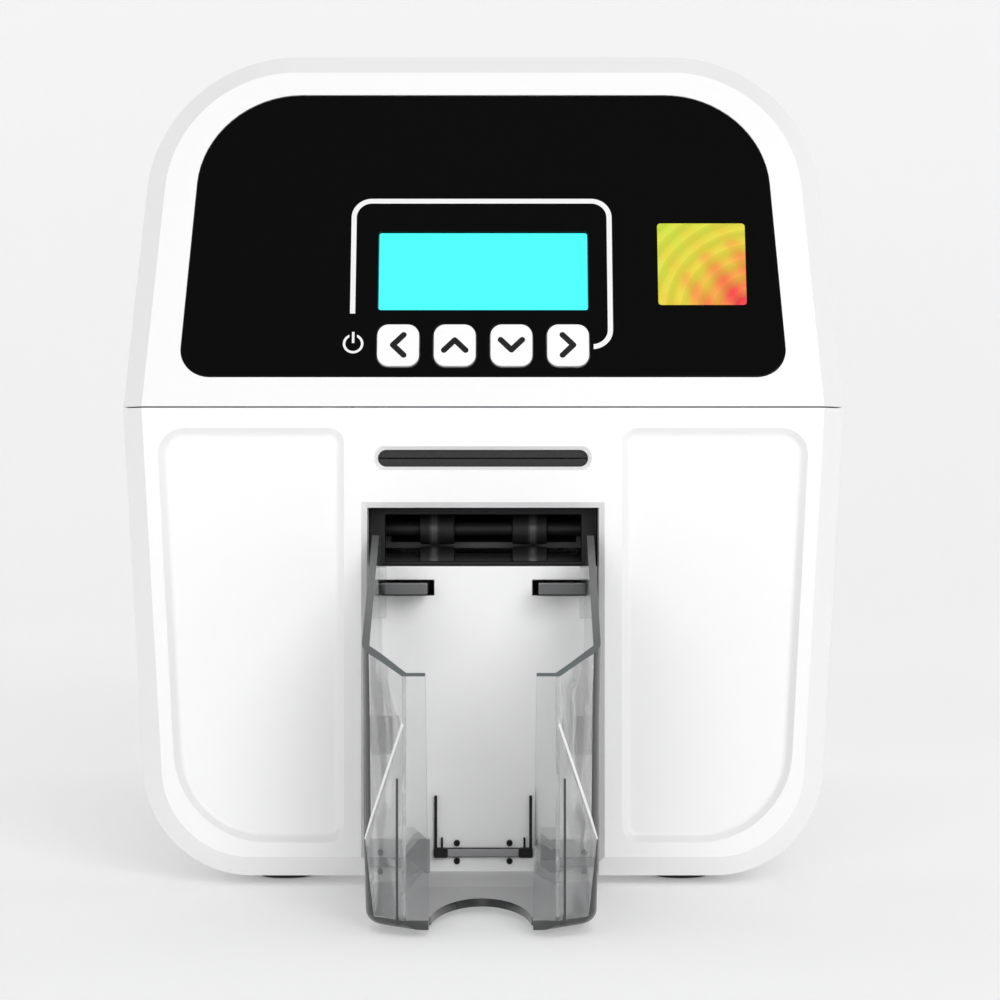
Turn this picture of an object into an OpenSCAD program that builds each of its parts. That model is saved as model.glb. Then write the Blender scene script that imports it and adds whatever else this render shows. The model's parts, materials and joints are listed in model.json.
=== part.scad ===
// Desktop card printer: a lower case, a hinged upper case with a control panel, a clear card hopper,
// and the card path, ribbon and electronics inside.
// The front faces -Y, +X is to the right of someone facing it, and the feet stand on z = 0.

/* [Case] */
// Width of the case across the parting line
body_w = 206.6; // [204:0.2:216]
// Depth of the case from the front face to the rear face
body_d = 365; // [365:1:380]
// Height of the rubber feet under the case
foot_h = 3; // [2:0.5:6]
// Height of the lower case from its underside to the parting line
base_h = 134.2; // [134.2:0.2:140]
// Height of the upper case above the parting line
lid_h = 105.8; // [102:0.2:120]
// Half width of the lower case at its bottom corners
base_low_w = 97.5; // [95:0.5:100]
// Radius of the bottom corners
base_corner_r = 31; // [20:1:34]
// Width of the flat top of the upper case, to the start of each corner
lid_flat_w = 112; // [100:1:116]
// Radius of the top corners
lid_corner_r = 43; // [35:1:43]
// Width of the sloping rim round the front and rear faces
rim = 6; // [3:0.5:8]
// Lean of the upper case's front face, in degrees back from upright
lean = 18; // [12:1:22]
// Thickness of the case walls
wall = 2.8; // [2:0.2:3]
// Thickness of the two front faces
front_wall = 4.6; // [4.6:0.2:5.4]
// Gap between the two cases at the parting line
seam = 0.6; // [0.4:0.1:1]

/* [Front] */
// Distance of each side panel from the middle
side_panel_x = 40.6; // [38.6:0.2:46]
// Inset of each side panel from the case outline
side_panel_inset = 11.8; // [8:0.2:16]
// Depth of the side panels
side_panel_depth = 1.8; // [0.6:0.2:2.4]
// Width of the feed slot
slot_w = 60; // [57:0.5:66]
// Height of the feed slot
slot_h = 4.8; // [4.6:0.1:6]
// Half width of the bay
bay_x = 33.1; // [33.1:0.1:34]
// Height of the bay ceiling
bay_top = 108.5; // [108:0.1:110]
// Depth of the bay to its back panel
bay_depth = 12; // [12:0.5:13]
// Height of the bay panel's top edge
bay_panel_top = 91.6; // [89:0.2:93]
// Thickness of the bay panel
bay_panel_t = 2.2; // [1.6:0.2:2.4]

/* [Hopper] */
// Reach of the hopper in front of the case
hopper_reach = 90; // [80:1:110]
// Half width of the hopper at its top edge
hopper_top_x = 31.6; // [30.6:0.1:32]
// Half width of the hopper at its floor
hopper_low_x = 29.7; // [28.5:0.1:30.5]
// Wall thickness of the hopper
hopper_wall = 2; // [1.6:0.1:2.4]
// Height of the hopper's underside
hopper_z = 1.7; // [1:0.1:2.5]
// Height of the side walls where they meet the case
hopper_rear_top = 100.6; // [96:0.2:104]
// Height of the front wall
hopper_front_top = 66; // [60:0.5:70]
// Half width of the flat front between its slanting corners
hopper_flat_x = 20; // [18:0.5:22]
// Depth of the slanting corners above the crease
hopper_corner = 16; // [13:0.5:18]
// Depth of the slanting corners at the underside
hopper_low_corner = 10; // [7:0.5:12]
// Height at which the slanting corners begin to deepen
crease_low = 23.5; // [18:0.5:30]
// Height at which they are at their full depth
crease_high = 53.7; // [45:0.5:60]
// Half width of the finger gap at the top
finger_x = 14.6; // [12:0.2:16]
// Reach of the finger notch in the floor
notch_reach = 42; // [30:1:50]
// How far the hopper draws forward when it is taken off
hopper_travel = 60; // [30:5:110]

/* [Control panel] */
// Half width of the control panel at its bottom edge
panel_x = 86.7; // [84:0.1:88]
// Distance up the slope from the parting line to the panel's bottom edge
panel_low = 9.2; // [8:0.1:10]
// Height of the panel up the slope
panel_h = 88.6; // [84:0.2:90]
// Thickness of the panel
panel_t = 2.3; // [1.6:0.1:2.4]
// Width of the display
lcd_w = 60.2; // [56:0.2:62]
// Height of the display up the slope
lcd_h = 23.9; // [22:0.1:25]
// Distance up the slope from the parting line to the display
lcd_low = 30; // [29.5:0.5:33]
// Width of a key
key_w = 12.1; // [10:0.1:13]
// Height of a key up the slope
key_h = 12.8; // [10:0.1:13.2]
// Spacing of the keys
key_pitch = 16.25; // [16.2:0.05:17]
// Distance up the slope from the parting line to the key centres
key_low = 18.7; // [18.5:0.1:19]
// Travel of a key
key_travel = 0.8; // [0.4:0.1:1]
// Width of the foil label
label_w = 25.5; // [20:0.5:26]

/* [Card path] */
// Width of a card
card_w = 54; // [53.5:0.1:54.5]
// Length of a card
card_l = 85.6; // [85:0.1:86]
// Gap between a roller and its pinch roller
nip = 0.8; // [0.8:0.05:1]
// Height of the card path, the underside of a card
path_z = 122; // [121.8:0.1:122.2]
// Radius of the drive rollers
roller_r = 6; // [5.8:0.1:6]
// Radius of the drive shafts
shaft_r = 3; // [2:0.1:3.2]
// Radius of the pinch rollers
pinch_r = 4; // [3.6:0.1:4]
// Radius of the pinch roller on the way out
eject_pinch_r = 2.8; // [2.4:0.1:2.8]
// Radius of the pinch shafts
pinch_shaft_r = 2; // [1.5:0.1:2]
// Distance of the platen roller in front of the rear face
platen_d = 207; // [200:0.5:214]
// Distance of the inlet roller in front of the platen roller
inlet_d = 78; // [75:0.5:82]
// Distance from the inlet roller back to the eject roller below it
eject_lag = 16; // [15.5:0.5:18]
// Distance of the gate's pivot in front of the platen roller
gate_lead = 42; // [41:0.5:44]
// Distance of the feed roller in front of the rear face
feed_d = 140; // [134:0.5:144]
// Distance of the pick roller in front of the rear face
pick_d = 75; // [55:0.5:85]
// Depth of the exit roller behind the front face
exit_d = 24; // [23:0.5:25]
// Height of the exit roller's centre
exit_z = 92; // [91.5:0.1:92.5]
// Radius of the exit roller
exit_r = 5; // [4.6:0.1:5]
// Radius of the exit pinch roller
exit_pinch_r = 4.5; // [4:0.1:4.5]
// Inner half width between the chassis plates
plate_x = 36; // [35.6:0.1:37]
// Thickness of the chassis sheet
sheet = 1.5; // [1:0.1:2]
// Height of the chassis plates' top edge
plate_top = 140; // [136:0.5:142]

/* [Belts] */
// Radius of the transport pulleys
pulley_r = 7; // [6:0.1:7.4]
// Radius of the platen's large pulley
big_pulley_r = 10; // [9:0.1:11]
// Radius of the motor pulley
motor_pulley_r = 4; // [3.5:0.1:5]
// Width of a belt
belt_w = 6; // [4:0.2:6]
// Thickness of a belt
belt_t = 1.2; // [0.8:0.1:1.4]
// Distance of the motor shaft behind the platen roller
motor_d = 32; // [24:0.5:38]
// Radius of the motor
motor_r = 17.5; // [14:0.5:20]
// Length of the motor
motor_l = 30; // [24:1:40]
// Radius of the motor shaft
motor_shaft_r = 2; // [1.5:0.1:2.5]
// Height of the motor shaft
motor_z = 62; // [55:0.5:70]

/* [Ribbon] */
// Distance of each spool before or behind the platen
spool_offset = 47; // [45:0.5:48]
// Height of the spools
spool_z = 150; // [149:0.5:154]
// Radius of the full ribbon roll
supply_r = 17; // [14:0.5:17]
// Radius of the used ribbon roll
used_r = 10; // [9:0.5:14]
// Radius of the spool flanges
flange_r = 18.5; // [18:0.5:19]
// Radius of the hubs in the spools
hub_r = 4; // [3:0.5:6]
// Radius of the bars that the film runs round
bar_r = 1.5; // [1.2:0.1:1.6]
// Distance of each bar before or behind the platen
bar_offset = 21; // [19:0.5:23]

/* [Magazine] */
// Height of the card magazine above its floor
magazine_h = 66; // [45:1:76]
// Distance of the magazine in front of the rear face
magazine_rear = 26; // [24:1:27]
// Thickness of the magazine's walls
mag_wall = 2; // [1.5:0.1:2.4]
// Travel of the card weight
weight_travel = 50; // [20:1:50]

/* [Rear] */
// Radius of the hinge barrel
barrel_r = 10; // [9:0.5:10.5]
// Radius of the hinge pins
pin_r = 2; // [1.5:0.1:3]
// Distance of each hinge ear from the middle
ear_x = 67; // [60:0.5:80]
// Width of a hinge ear
ear_w = 9; // [7:0.5:12]
// Half thickness of the neck under a hinge ear
ear_neck = 4.5; // [3.5:0.5:5]
// Opening angle of the upper case
lid_open = 75; // [40:5:75]
// Width of the fan
fan_w = 40; // [30:1:40]
// Distance of the fan's middle from the left side of the case
fan_inset = 35.3; // [33:0.1:40]
// Height of the fan's middle
fan_z = 86; // [80:1:92]
// Distance of the socket window from the right side of the case
window_inset = 29.3; // [26:0.1:33]
// Width of the socket window
window_w = 80; // [80:0.5:84]
// Height of the socket window's lower edge
window_low = 24; // [22:0.5:30]
// Height of the socket window
window_h = 36; // [30:0.5:40]

/* [Base and electronics] */
// Distance of each foot from the middle
foot_x = 58; // [50:1:62]
// Distance of each foot from the front or the rear face
foot_inset = 30; // [20:1:40]
// Radius of a foot
foot_r = 8; // [6:0.5:10]
// Distance of each chassis post from the middle
post_x = 25; // [20:1:28]
// Distance of each chassis post from the chassis's end
post_inset = 20; // [16:1:30]
// Thread radius of the chassis screws
screw_r = 1.5; // [1.2:0.1:1.8]
// Length of the power supply
psu_l = 115; // [95:1:120]
// Width of the power supply
psu_w = 40; // [32:1:42]
// Height of the power supply
psu_h = 44; // [36:1:48]
// Distance of the power supply in front of the rear face
psu_rear = 35; // [30:1:50]
// Length of the main board
board_l = 238; // [238:1:244]
// Height of the main board
board_h = 86; // [86:1:92]
// Height of the main board's lower edge
board_low = 22; // [20:0.5:24]
// Thickness of the circuit boards
board_t = 1.6; // [1:0.1:2]
// Gap between the chassis and the main board
board_gap = 14.5; // [10:0.5:16]

/* [Fits] */
// Free gap between pieces that don't touch
gap = 0.3; // [0.25:0.05:0.35]
// Running gap of a shaft in its bush
run = 0.05; // [0.03:0.01:0.08]

/* [Hidden] */
$fn = 48;

// Places of the case
front_y = (hopper_reach - body_d) / 2;
rear_y = front_y + body_d;
half_w = body_w / 2;
parting_z = foot_h + base_h;
top_z = parting_z + lid_h;
floor_z = foot_h + wall;
slope_h = lid_h / cos(lean);
corner_x = base_low_w - base_corner_r;
axis_d = body_d - barrel_r;
barrel_gap = 2 * gap;

// Depths of the rollers behind the front face
platen_at = body_d - platen_d;
inlet_at = platen_at - inlet_d;
feed_at = body_d - feed_d;
pick_at = body_d - pick_d;
motor_at = platen_at + motor_d;

// Places of the card path
roller_z = path_z - roller_r;
pinch_z = path_z + nip + pinch_r;
exit_pinch_z = exit_z + exit_r + nip + exit_pinch_r;
exit_line_z = exit_z + exit_r;
exit_tilt = atan((path_z - exit_line_z) / (platen_at - 12 - exit_d));
eject_d = inlet_at + eject_lag;
eject_z = way_out(eject_d) - roller_r / cos(exit_tilt);
eject_pinch_z = way_out(eject_d) + (nip + eject_pinch_r) / cos(exit_tilt);
channel_x = card_w / 2 + gap;
guide_x = plate_x - gap;
guide_top = path_z - 0.4;
rail_top = path_z + 2.3;
sleeve_x = card_w / 2 - 2;
bush_wall = 2;
bush_flange = 1;
bush_lip = 0.3;
plate_out = plate_x + sheet;
chassis_d0 = bay_depth + 5;
chassis_d1 = body_d - 25;
chassis_z = floor_z + 3.2;
belt_gap = 0.2;
flange_t = 0.8;
belt_x1 = plate_out + bush_flange + 2 * gap + flange_t;
belt_x2 = belt_x1 + belt_w + 2 * flange_t + 1.2;
gate_d = platen_at - gate_lead;
gate_z = path_z - 2.4;
gate_r = 1.5;
supply_d = platen_at + spool_offset;
used_d = platen_at - spool_offset;
magazine_z = rail_top + gap;
magazine_l = card_l + 2 * mag_wall + 2.4;
magazine_d = body_d - magazine_rear - magazine_l;
cassette_x = guide_x - 2;
film_t = 0.3;
film_z = path_z + 1.9;
film_x = channel_x - 0.8;
bar_z = film_z + film_t + gap + bar_r;

// The eject shaft's thin end runs under the transport belt
thin_end_r = roller_z - pulley_r - belt_gap - belt_t - gap - eject_z;

// Places of the print head, which hangs from the upper case
head_x = 28;
head_z = film_z + film_t + 0.4;
sink_z = head_z + 9.6;
bracket_z = sink_z + 32;

// Places of the posts, the boards and the power supply
post_d = [chassis_d0 + post_inset, chassis_d1 - post_inset];
board_x = plate_out + board_gap;
board_d = [body_d - 65 - board_l, body_d - 65];
board_z = [board_low, board_low + board_h];
psu_x = [-plate_out - 6.5 - psu_w, -plate_out - 6.5];
psu_d = [body_d - psu_rear - psu_l, body_d - psu_rear];
psu_z = floor_z + 8.2;

// Places at the rear: the fan, and the middles and sizes of the sockets
fan_x = fan_inset - half_w;
fan_d = [body_d - wall - gap - 10, body_d - wall - gap];
window_x = [half_w - window_inset - window_w, half_w - window_inset];
window_z = [window_low, window_low + window_h];
inlet_x = window_x[1] - 18;
switch_x = window_x[1] - 40;
net_x = window_x[1] - 57;
data_x = window_x[1] - 71;
socket_z = (window_z[0] + window_z[1]) / 2;
rear_plate = [body_d - wall - gap - sheet, body_d - wall - gap];
inlet_size = [27, 20];
switch_size = [11, 20];
switch_tilt = 6;
net_size = [16, 14];
data_size = [12, 11];

// Notches in the bay panel for the hopper's hooks
hook_z = [83.1, 87.6];
hook_x = [14.2, 30.4];
side_hook_z = [37.2, 48.2, 58.4];
side_hook_x = [26.2, 29.1];

// Widths of the hinge ears, left and right, and of the room that the upper case leaves for them
EARS = [[-ear_x - ear_w / 2, -ear_x + ear_w / 2], [ear_x - ear_w / 2, ear_x + ear_w / 2]];
ear_room = [-0.5, 0.5];

// Places behind the control panel
tab_x = 44.4;
panel_window_x = 66;
panel_post_x = 70;
panel_post_r = 3;
panel_board_y = 8.2;
panel_board_v = [11, 61];
key_x = [-1.5 * key_pitch, -0.5 * key_pitch, 0.5 * key_pitch, 1.5 * key_pitch];
key_r = 3.4;
key_flange = [panel_t + gap, panel_t + gap + 0.9];
key_proud = 0.6;

// Centres of the drive rollers, then of the pinch rollers, as depth and height
DRIVE = [
    [inlet_at, roller_z], [platen_at, roller_z], [feed_at, roller_z], [pick_at, roller_z], [exit_d, exit_z],
    [eject_d, eject_z]
];
PINCH = [[inlet_at, pinch_z], [eject_d, eject_pinch_z], [feed_at, pinch_z], [exit_d, exit_pinch_z]];

// Height of the card's underside on the sloping way out
function way_out(d) = exit_line_z + (d - exit_d) * tan(exit_tilt);

// A box from one depth to another behind the front face
module slab(x, d, z) {
    translate([x[0], front_y + d[0], z[0]])
        cube([x[1] - x[0], d[1] - d[0], z[1] - z[0]]);
}

// The same box on both sides of the middle
module slab_pair(x, d, z) {
    slab(x, d, z);
    slab([-x[1], -x[0]], d, z);
}

// A rod that lies across the case
module rod(x, d, z, r) {
    translate([x[0], front_y + d, z])
        rotate([0, 90, 0])
            cylinder(r = r, h = x[1] - x[0]);
}

// A rod that runs from front to rear
module rod_y(x, z, d, r) {
    translate([x, front_y + d[0], z])
        rotate([-90, 0, 0])
            cylinder(r = r, h = d[1] - d[0]);
}

// A profile drawn in depth and height, and drawn out across the case
module side_profile(x, points) {
    translate([x[0], front_y, 0])
        rotate([90, 0, 90])
            linear_extrude(x[1] - x[0])
                polygon(points);
}

// A thin upright slice of a front outline, for the hulls of the cases
module slice(d) {
    translate([0, front_y + d + 0.01, 0])
        rotate([90, 0, 0])
            linear_extrude(0.01)
                children();
}

// Moves a child onto the sloping front: z runs up the slope, and y runs into the case
module on_slope() {
    translate([0, front_y, parting_z])
        rotate([-lean, 0, 0])
            children();
}

// A rectangle with round corners, drawn on the slope and sunk from one depth to another
module slope_plate(x, v, y, r) {
    translate([0, y[1], 0])
        rotate([90, 0, 0])
            linear_extrude(y[1] - y[0])
                round_rect(x, v, r);
}

module round_rect(x, v, r) {
    translate([x[0] + r, v[0]])
        square([x[1] - x[0] - 2 * r, v[1] - v[0]]);
    translate([x[0], v[0] + r])
        square([x[1] - x[0], v[1] - v[0] - 2 * r]);
    for (px = [x[0] + r, x[1] - r], pv = [v[0] + r, v[1] - r])
        translate([px, pv])
            circle(r);
}

// Outline of the lower case, drawn in x and z
module base_outline(inset) {
    for (side = [-1, 1])
        translate([side * corner_x, foot_h + base_corner_r])
            circle(base_corner_r - inset);
    translate([inset - half_w, parting_z])
        square([2 * (half_w - inset), 20]);
}

// Outline of the upper case, in x and the distance up from the parting line
module lid_outline(inset, height) {
    for (side = [-1, 1])
        translate([side * lid_flat_w / 2, height - lid_corner_r])
            circle(lid_corner_r - inset);
    translate([inset - half_w, -20])
        square([2 * (half_w - inset), 20]);
}

module base_body(front_inset, front, side_inset, rear) {
    hull() {
        slice(front)
            base_outline(front_inset);
        slice(rim + side_inset)
            base_outline(side_inset);
        slice(body_d - rim - side_inset)
            base_outline(side_inset);
        slice(body_d - rear)
            base_outline(front_inset);
    }
}

module lid_slice(d) {
    translate([0, front_y, parting_z])
        rotate([-lean, 0, 0])
            translate([0, d + 0.01, 0])
                rotate([90, 0, 0])
                    linear_extrude(0.01)
                        children();
}

module lid_body(front_inset, front, side_inset, rear) {
    hull() {
        lid_slice(front)
            lid_outline(front_inset, slope_h);
        lid_slice(rim + side_inset)
            lid_outline(side_inset, slope_h + (rim + side_inset) * tan(lean));
        translate([0, 0, parting_z])
            slice(body_d - rim - side_inset)
                lid_outline(side_inset, lid_h);
        translate([0, 0, parting_z])
            slice(body_d - rear)
                lid_outline(front_inset, lid_h);
    }
}

// The four corners of the sunk side panel on the right of the bay, for a hull
module side_panel_corners(inset) {
    low = foot_h + side_panel_inset;
    high = parting_z - 7.8;
    small_r = 4.5;
    large_r = base_corner_r - side_panel_inset + 4;
    for (z = [low + small_r, high - small_r])
        translate([side_panel_x + small_r, z])
            circle(small_r - inset);
    translate([half_w - side_panel_inset - 7.5, high - 7])
        circle(7 - inset);
    translate([base_low_w - side_panel_inset - large_r, low + large_r])
        circle(large_r - inset);
}

module side_panel_cut() {
    edge = 3;
    hull() {
        slice(-0.5)
            side_panel_corners(-0.5);
        slice(side_panel_depth)
            side_panel_corners(edge);
    }
}

// The round-ended feed slot
module slot_cut(extra, d) {
    height = slot_h + 2 * extra;
    middle_z = path_z + 0.6;
    reach = slot_w / 2 + extra - height / 2;
    slab([-reach, reach], d, [middle_z - height / 2, middle_z + height / 2]);
    for (side = [-1, 1])
        rod_y(side * reach, middle_z, d, height / 2);
}

// Clear space round the hinge barrel at the rear edge of the lower case
module hinge_space() {
    reach = barrel_r + barrel_gap;
    rod([-half_w - 1, half_w + 1], axis_d, parting_z, reach);
    slab([-half_w - 1, half_w + 1], [axis_d, body_d + 1], [parting_z - reach, parting_z + reach]);
}

module base_shell() {
    color("white")
        difference() {
            union() {
                difference() {
                    base_body(rim, 0, 0, 0);
                    base_body(rim + wall - 1, front_wall, wall, wall);
                }
                // Lining of the bay
                slab([-bay_x - wall, bay_x + wall], [0.5, bay_depth + 4], [foot_h, bay_top + wall]);
                // Posts under the chassis and the power supply
                for (x = [-post_x, post_x], d = post_d)
                    translate([x, front_y + d, foot_h + 1])
                        cylinder(r = 4.5, h = chassis_z - foot_h - 1);
                for (x = [psu_x[1] - 6, psu_x[1] - 16], d = [psu_d[0] + 8, psu_d[1] - 8])
                    translate([x, front_y + d, foot_h + 1])
                        cylinder(r = 4, h = psu_z - foot_h - 1);
                // Hinge ears
                for (x = EARS) {
                    rod(x, axis_d, parting_z, barrel_r - 2);
                    slab(x, [axis_d - ear_neck, axis_d + ear_neck], [parting_z - 30, parting_z]);
                    slab(
                        x,
                        [axis_d - ear_neck, body_d - 1],
                        [parting_z - 30, parting_z - barrel_r - barrel_gap - 2]
                    );
                }
            }
            // Open top, leaving the hinge ears standing
            difference() {
                union() {
                    slab([-half_w - 1, half_w + 1], [-1, body_d + 1], [parting_z - seam / 2, top_z]);
                    hinge_space();
                }
                for (x = EARS) {
                    rod(x, axis_d, parting_z, barrel_r - 2);
                    slab(
                        x,
                        [axis_d - ear_neck, axis_d + ear_neck],
                        [parting_z - barrel_r - 3, parting_z]
                    );
                }
            }
            rod([-ear_x - 10, ear_x + 10], axis_d, parting_z, pin_r + run);
            // Bay, side panels and feed slot
            slab([-bay_x, bay_x], [-1, bay_depth + 5], [0, bay_top]);
            side_panel_cut();
            mirror([1, 0, 0])
                side_panel_cut();
            slot_cut(0, [-1, front_wall + 2]);
            slot_cut(0.8, [-1, 0.8]);
            // Rear window, fan slots and screw holes
            slab(window_x, [body_d - wall - 2, body_d + 1], window_z);
            for (i = [-3:3])
                slab(
                    [fan_x + i * 5 - 1.5, fan_x + i * 5 + 1.5],
                    [body_d - 6, body_d + 1],
                    [fan_z - 15, fan_z + 15]
                );
            for (x = [-post_x, post_x], d = post_d)
                translate([x, front_y + d, foot_h + 2])
                    cylinder(r = screw_r, h = 20);
            // Vents low on both sides
            for (i = [0:9])
                slab_pair(
                    [base_low_w - 15, max(base_low_w, half_w) + 2],
                    [body_d / 2 + i * 7, body_d / 2 + i * 7 + 3],
                    [parting_z - 62, parting_z - 42]
                );
        }
}

module feet() {
    color("dimgray")
        for (x = [-foot_x, foot_x], d = [foot_inset, body_d - foot_inset])
            translate([x, front_y + d, 0])
                cylinder(r = foot_r, h = foot_h);
}

// A sheet with one floor and two upright plates
module chassis() {
    color("lightsteelblue")
        difference() {
            union() {
                slab([-plate_out, plate_out], [chassis_d0, chassis_d1], [chassis_z, chassis_z + sheet]);
                slab_pair([plate_x, plate_out], [chassis_d0, chassis_d1], [chassis_z, plate_top]);
            }
            for (c = DRIVE)
                rod([-50, 50], c[0], c[1], shaft_r + bush_wall + 0.02);
            for (c = PINCH)
                rod([-50, 50], c[0], c[1], pinch_shaft_r + bush_wall + 0.02);
            rod([-50, 50], gate_d, gate_z, gate_r + 0.06);
            rod([-50, 0], motor_at, motor_z, 8);
            for (x = [-post_x, post_x], d = post_d)
                translate([x, front_y + d, 0])
                    cylinder(r = screw_r + 0.3, h = 40);
            for (d = [chassis_d0 + 43, chassis_d1 - 80])
                slab([-50, 50], [d, d + 40], [chassis_z + 24, chassis_z + 54]);
        }
}

module chassis_screws() {
    color("silver")
        for (x = [-post_x, post_x], d = post_d)
            translate([x, front_y + d, 0]) {
                translate([0, 0, chassis_z + sheet])
                    cylinder(r = 3, h = 2);
                translate([0, 0, foot_h + 2.5])
                    cylinder(r = screw_r - 0.05, h = chassis_z + sheet - foot_h - 2.5);
            }
}

module bush(c, r) {
    difference() {
        union() {
            rod([plate_x, plate_out], c[0], c[1], r + bush_wall);
            rod([plate_out, plate_out + bush_flange], c[0], c[1], r + bush_wall + bush_lip);
        }
        rod([plate_x - 1, plate_out + 2], c[0], c[1], r + run);
    }
}

module bushes() {
    color("ivory")
        for (side = [0, 1])
            mirror([side, 0, 0]) {
                for (c = DRIVE)
                    bush(c, shaft_r);
                for (c = PINCH)
                    bush(c, pinch_shaft_r);
            }
}

// A card channel with a floor and two rails, open over the rollers
module channel(d, z, windows) {
    difference() {
        union() {
            slab([-guide_x, guide_x], d, [z, guide_top]);
            slab_pair([channel_x, guide_x], d, [z, rail_top]);
        }
        for (w = windows)
            slab([-sleeve_x - 1, sleeve_x + 1], [w - roller_r - 1, w + roller_r + 1], [z - 1, path_z + 1]);
    }
}

module upper_guide() {
    color("dimgray")
        difference() {
            channel([front_wall + gap, gate_d - 4], guide_top - 2, [inlet_at]);
            // Space under the rails for the shafts
            rod([-50, 50], inlet_at, roller_z, shaft_r + bush_wall + gap);
            rod([-50, 50], inlet_at, pinch_z, pinch_shaft_r + gap);
        }
}

module rear_guide() {
    color("dimgray")
        difference() {
            channel([platen_at - 16, magazine_d + magazine_l], guide_top - 3, [platen_at, feed_at, pick_at]);
            for (d = [platen_at, feed_at, pick_at])
                rod([-50, 50], d, roller_z, shaft_r + gap);
            rod([-50, 50], feed_at, pinch_z, pinch_shaft_r + gap);
        }
}

module exit_chute() {
    start = exit_d + 8;
    end = gate_d + 6;
    color("dimgray")
        difference() {
            union() {
                side_profile([-guide_x, guide_x], [
                    [start, way_out(start) - gap], [start, way_out(start) - gap - 2],
                    [end, way_out(end) - gap - 2], [end, way_out(end) - gap]
                ]);
                for (x = [-guide_x, channel_x])
                    side_profile([x, x + guide_x - channel_x], [
                        [start, way_out(start) + 1.5], [start, way_out(start) - gap - 1],
                        [gate_d - 8, way_out(gate_d - 8) - gap - 1], [gate_d - 8, way_out(gate_d - 8) + 1.5]
                    ]);
            }
            slab(
                [-sleeve_x - 1, sleeve_x + 1],
                [eject_d - roller_r - 1, eject_d + roller_r + 1],
                [eject_z, path_z]
            );
            rod([-50, 50], eject_d, eject_pinch_z, pinch_shaft_r + gap);
            rod([-50, 50], eject_d, eject_z, shaft_r + gap);
        }
}

module path_gate() {
    reach = 22;
    color("gray") {
        rod([-plate_out - 1, plate_out + 1], gate_d, gate_z, gate_r);
        side_profile([-sleeve_x, sleeve_x], [
            [gate_d, gate_z + 1.3], [gate_d, gate_z - 1.3],
            [gate_d + reach, guide_top - 0.8], [gate_d + reach, guide_top]
        ]);
    }
}

// A belt pulley with two flanges, on the left of the chassis
module pulley(c, x, r) {
    rod([-x - belt_w - 0.3, -x + 0.3], c[0], c[1], r);
    rod([-x + 0.3, -x + 0.3 + flange_t], c[0], c[1], r + 1.2);
    rod([-x - belt_w - 0.3 - flange_t, -x - belt_w - 0.3], c[0], c[1], r + 1.2);
}

// A rubber sleeve on its shaft
module drive_roller(c, r, left) {
    color("silver")
        rod([-left, plate_out + 3], c[0], c[1], shaft_r);
    color("darkslategray")
        rod([-sleeve_x, sleeve_x], c[0], c[1], r);
    color("silver")
        pulley(c, belt_x1, pulley_r);
}

module inlet_roller() {
    drive_roller(DRIVE[0], roller_r, belt_x2 + belt_w + 1.1);
    color("silver")
        pulley(DRIVE[0], belt_x2, pulley_r);
}

module platen_roller() {
    drive_roller(DRIVE[1], roller_r, belt_x2 + belt_w + 1.1);
    color("silver")
        pulley(DRIVE[1], belt_x2, big_pulley_r);
}

module feed_roller() {
    drive_roller(DRIVE[2], roller_r, belt_x1 + belt_w + 1.1);
}

// Its thin end passes under the transport belt
module eject_roller() {
    shoulder = plate_out + bush_flange + gap;
    color("silver") {
        rod([-shoulder, plate_out + 3], eject_d, eject_z, shaft_r);
        rod([-belt_x2 - belt_w - 1.1, -shoulder + 0.1], eject_d, eject_z, thin_end_r);
    }
    color("darkslategray")
        rod([-sleeve_x, sleeve_x], eject_d, eject_z, roller_r);
    color("silver")
        pulley(DRIVE[5], belt_x2, pulley_r);
}

module pick_roller() {
    drive_roller(DRIVE[3], roller_r, belt_x1 + belt_w + 1.1);
}

// The exit rollers have two narrow sleeves
module exit_sleeves(c, r) {
    for (side = [-1, 1])
        rod([side * 13.5 - 5, side * 13.5 + 5], c[0], c[1], r);
}

module exit_roller() {
    color("silver")
        rod([-belt_x2 - belt_w - 1.1, plate_out + 3], exit_d, exit_z, shaft_r);
    color("dimgray")
        exit_sleeves(DRIVE[4], exit_r);
    color("silver")
        pulley(DRIVE[4], belt_x2, pulley_r);
}

module pinch_roller(c, r) {
    color("silver")
        rod([-plate_out - 2, plate_out + 2], c[0], c[1], pinch_shaft_r);
    color("gray")
        rod([-sleeve_x, sleeve_x], c[0], c[1], r);
}

module inlet_pinch() {
    pinch_roller(PINCH[0], pinch_r);
}

module eject_pinch() {
    pinch_roller(PINCH[1], eject_pinch_r);
}

module feed_pinch() {
    pinch_roller(PINCH[2], pinch_r);
}

module exit_pinch() {
    color("silver")
        rod([-plate_out - 2, plate_out + 2], exit_d, exit_pinch_z, pinch_shaft_r);
    color("gray")
        exit_sleeves(PINCH[3], exit_pinch_r);
}

// A belt round two pulleys
module belt(a, b, ra, rb, x) {
    difference() {
        hull() {
            rod([-x - belt_w, -x], a[0], a[1], ra + belt_gap + belt_t);
            rod([-x - belt_w, -x], b[0], b[1], rb + belt_gap + belt_t);
        }
        hull() {
            rod([-x - belt_w - 1, -x + 1], a[0], a[1], ra + belt_gap);
            rod([-x - belt_w - 1, -x + 1], b[0], b[1], rb + belt_gap);
        }
    }
}

module transport_belt() {
    color("black")
        belt(DRIVE[0], DRIVE[3], pulley_r, pulley_r, belt_x1);
}

module motor_belt() {
    color("black")
        belt(DRIVE[1], [motor_at, motor_z], big_pulley_r, motor_pulley_r, belt_x2);
}

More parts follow.
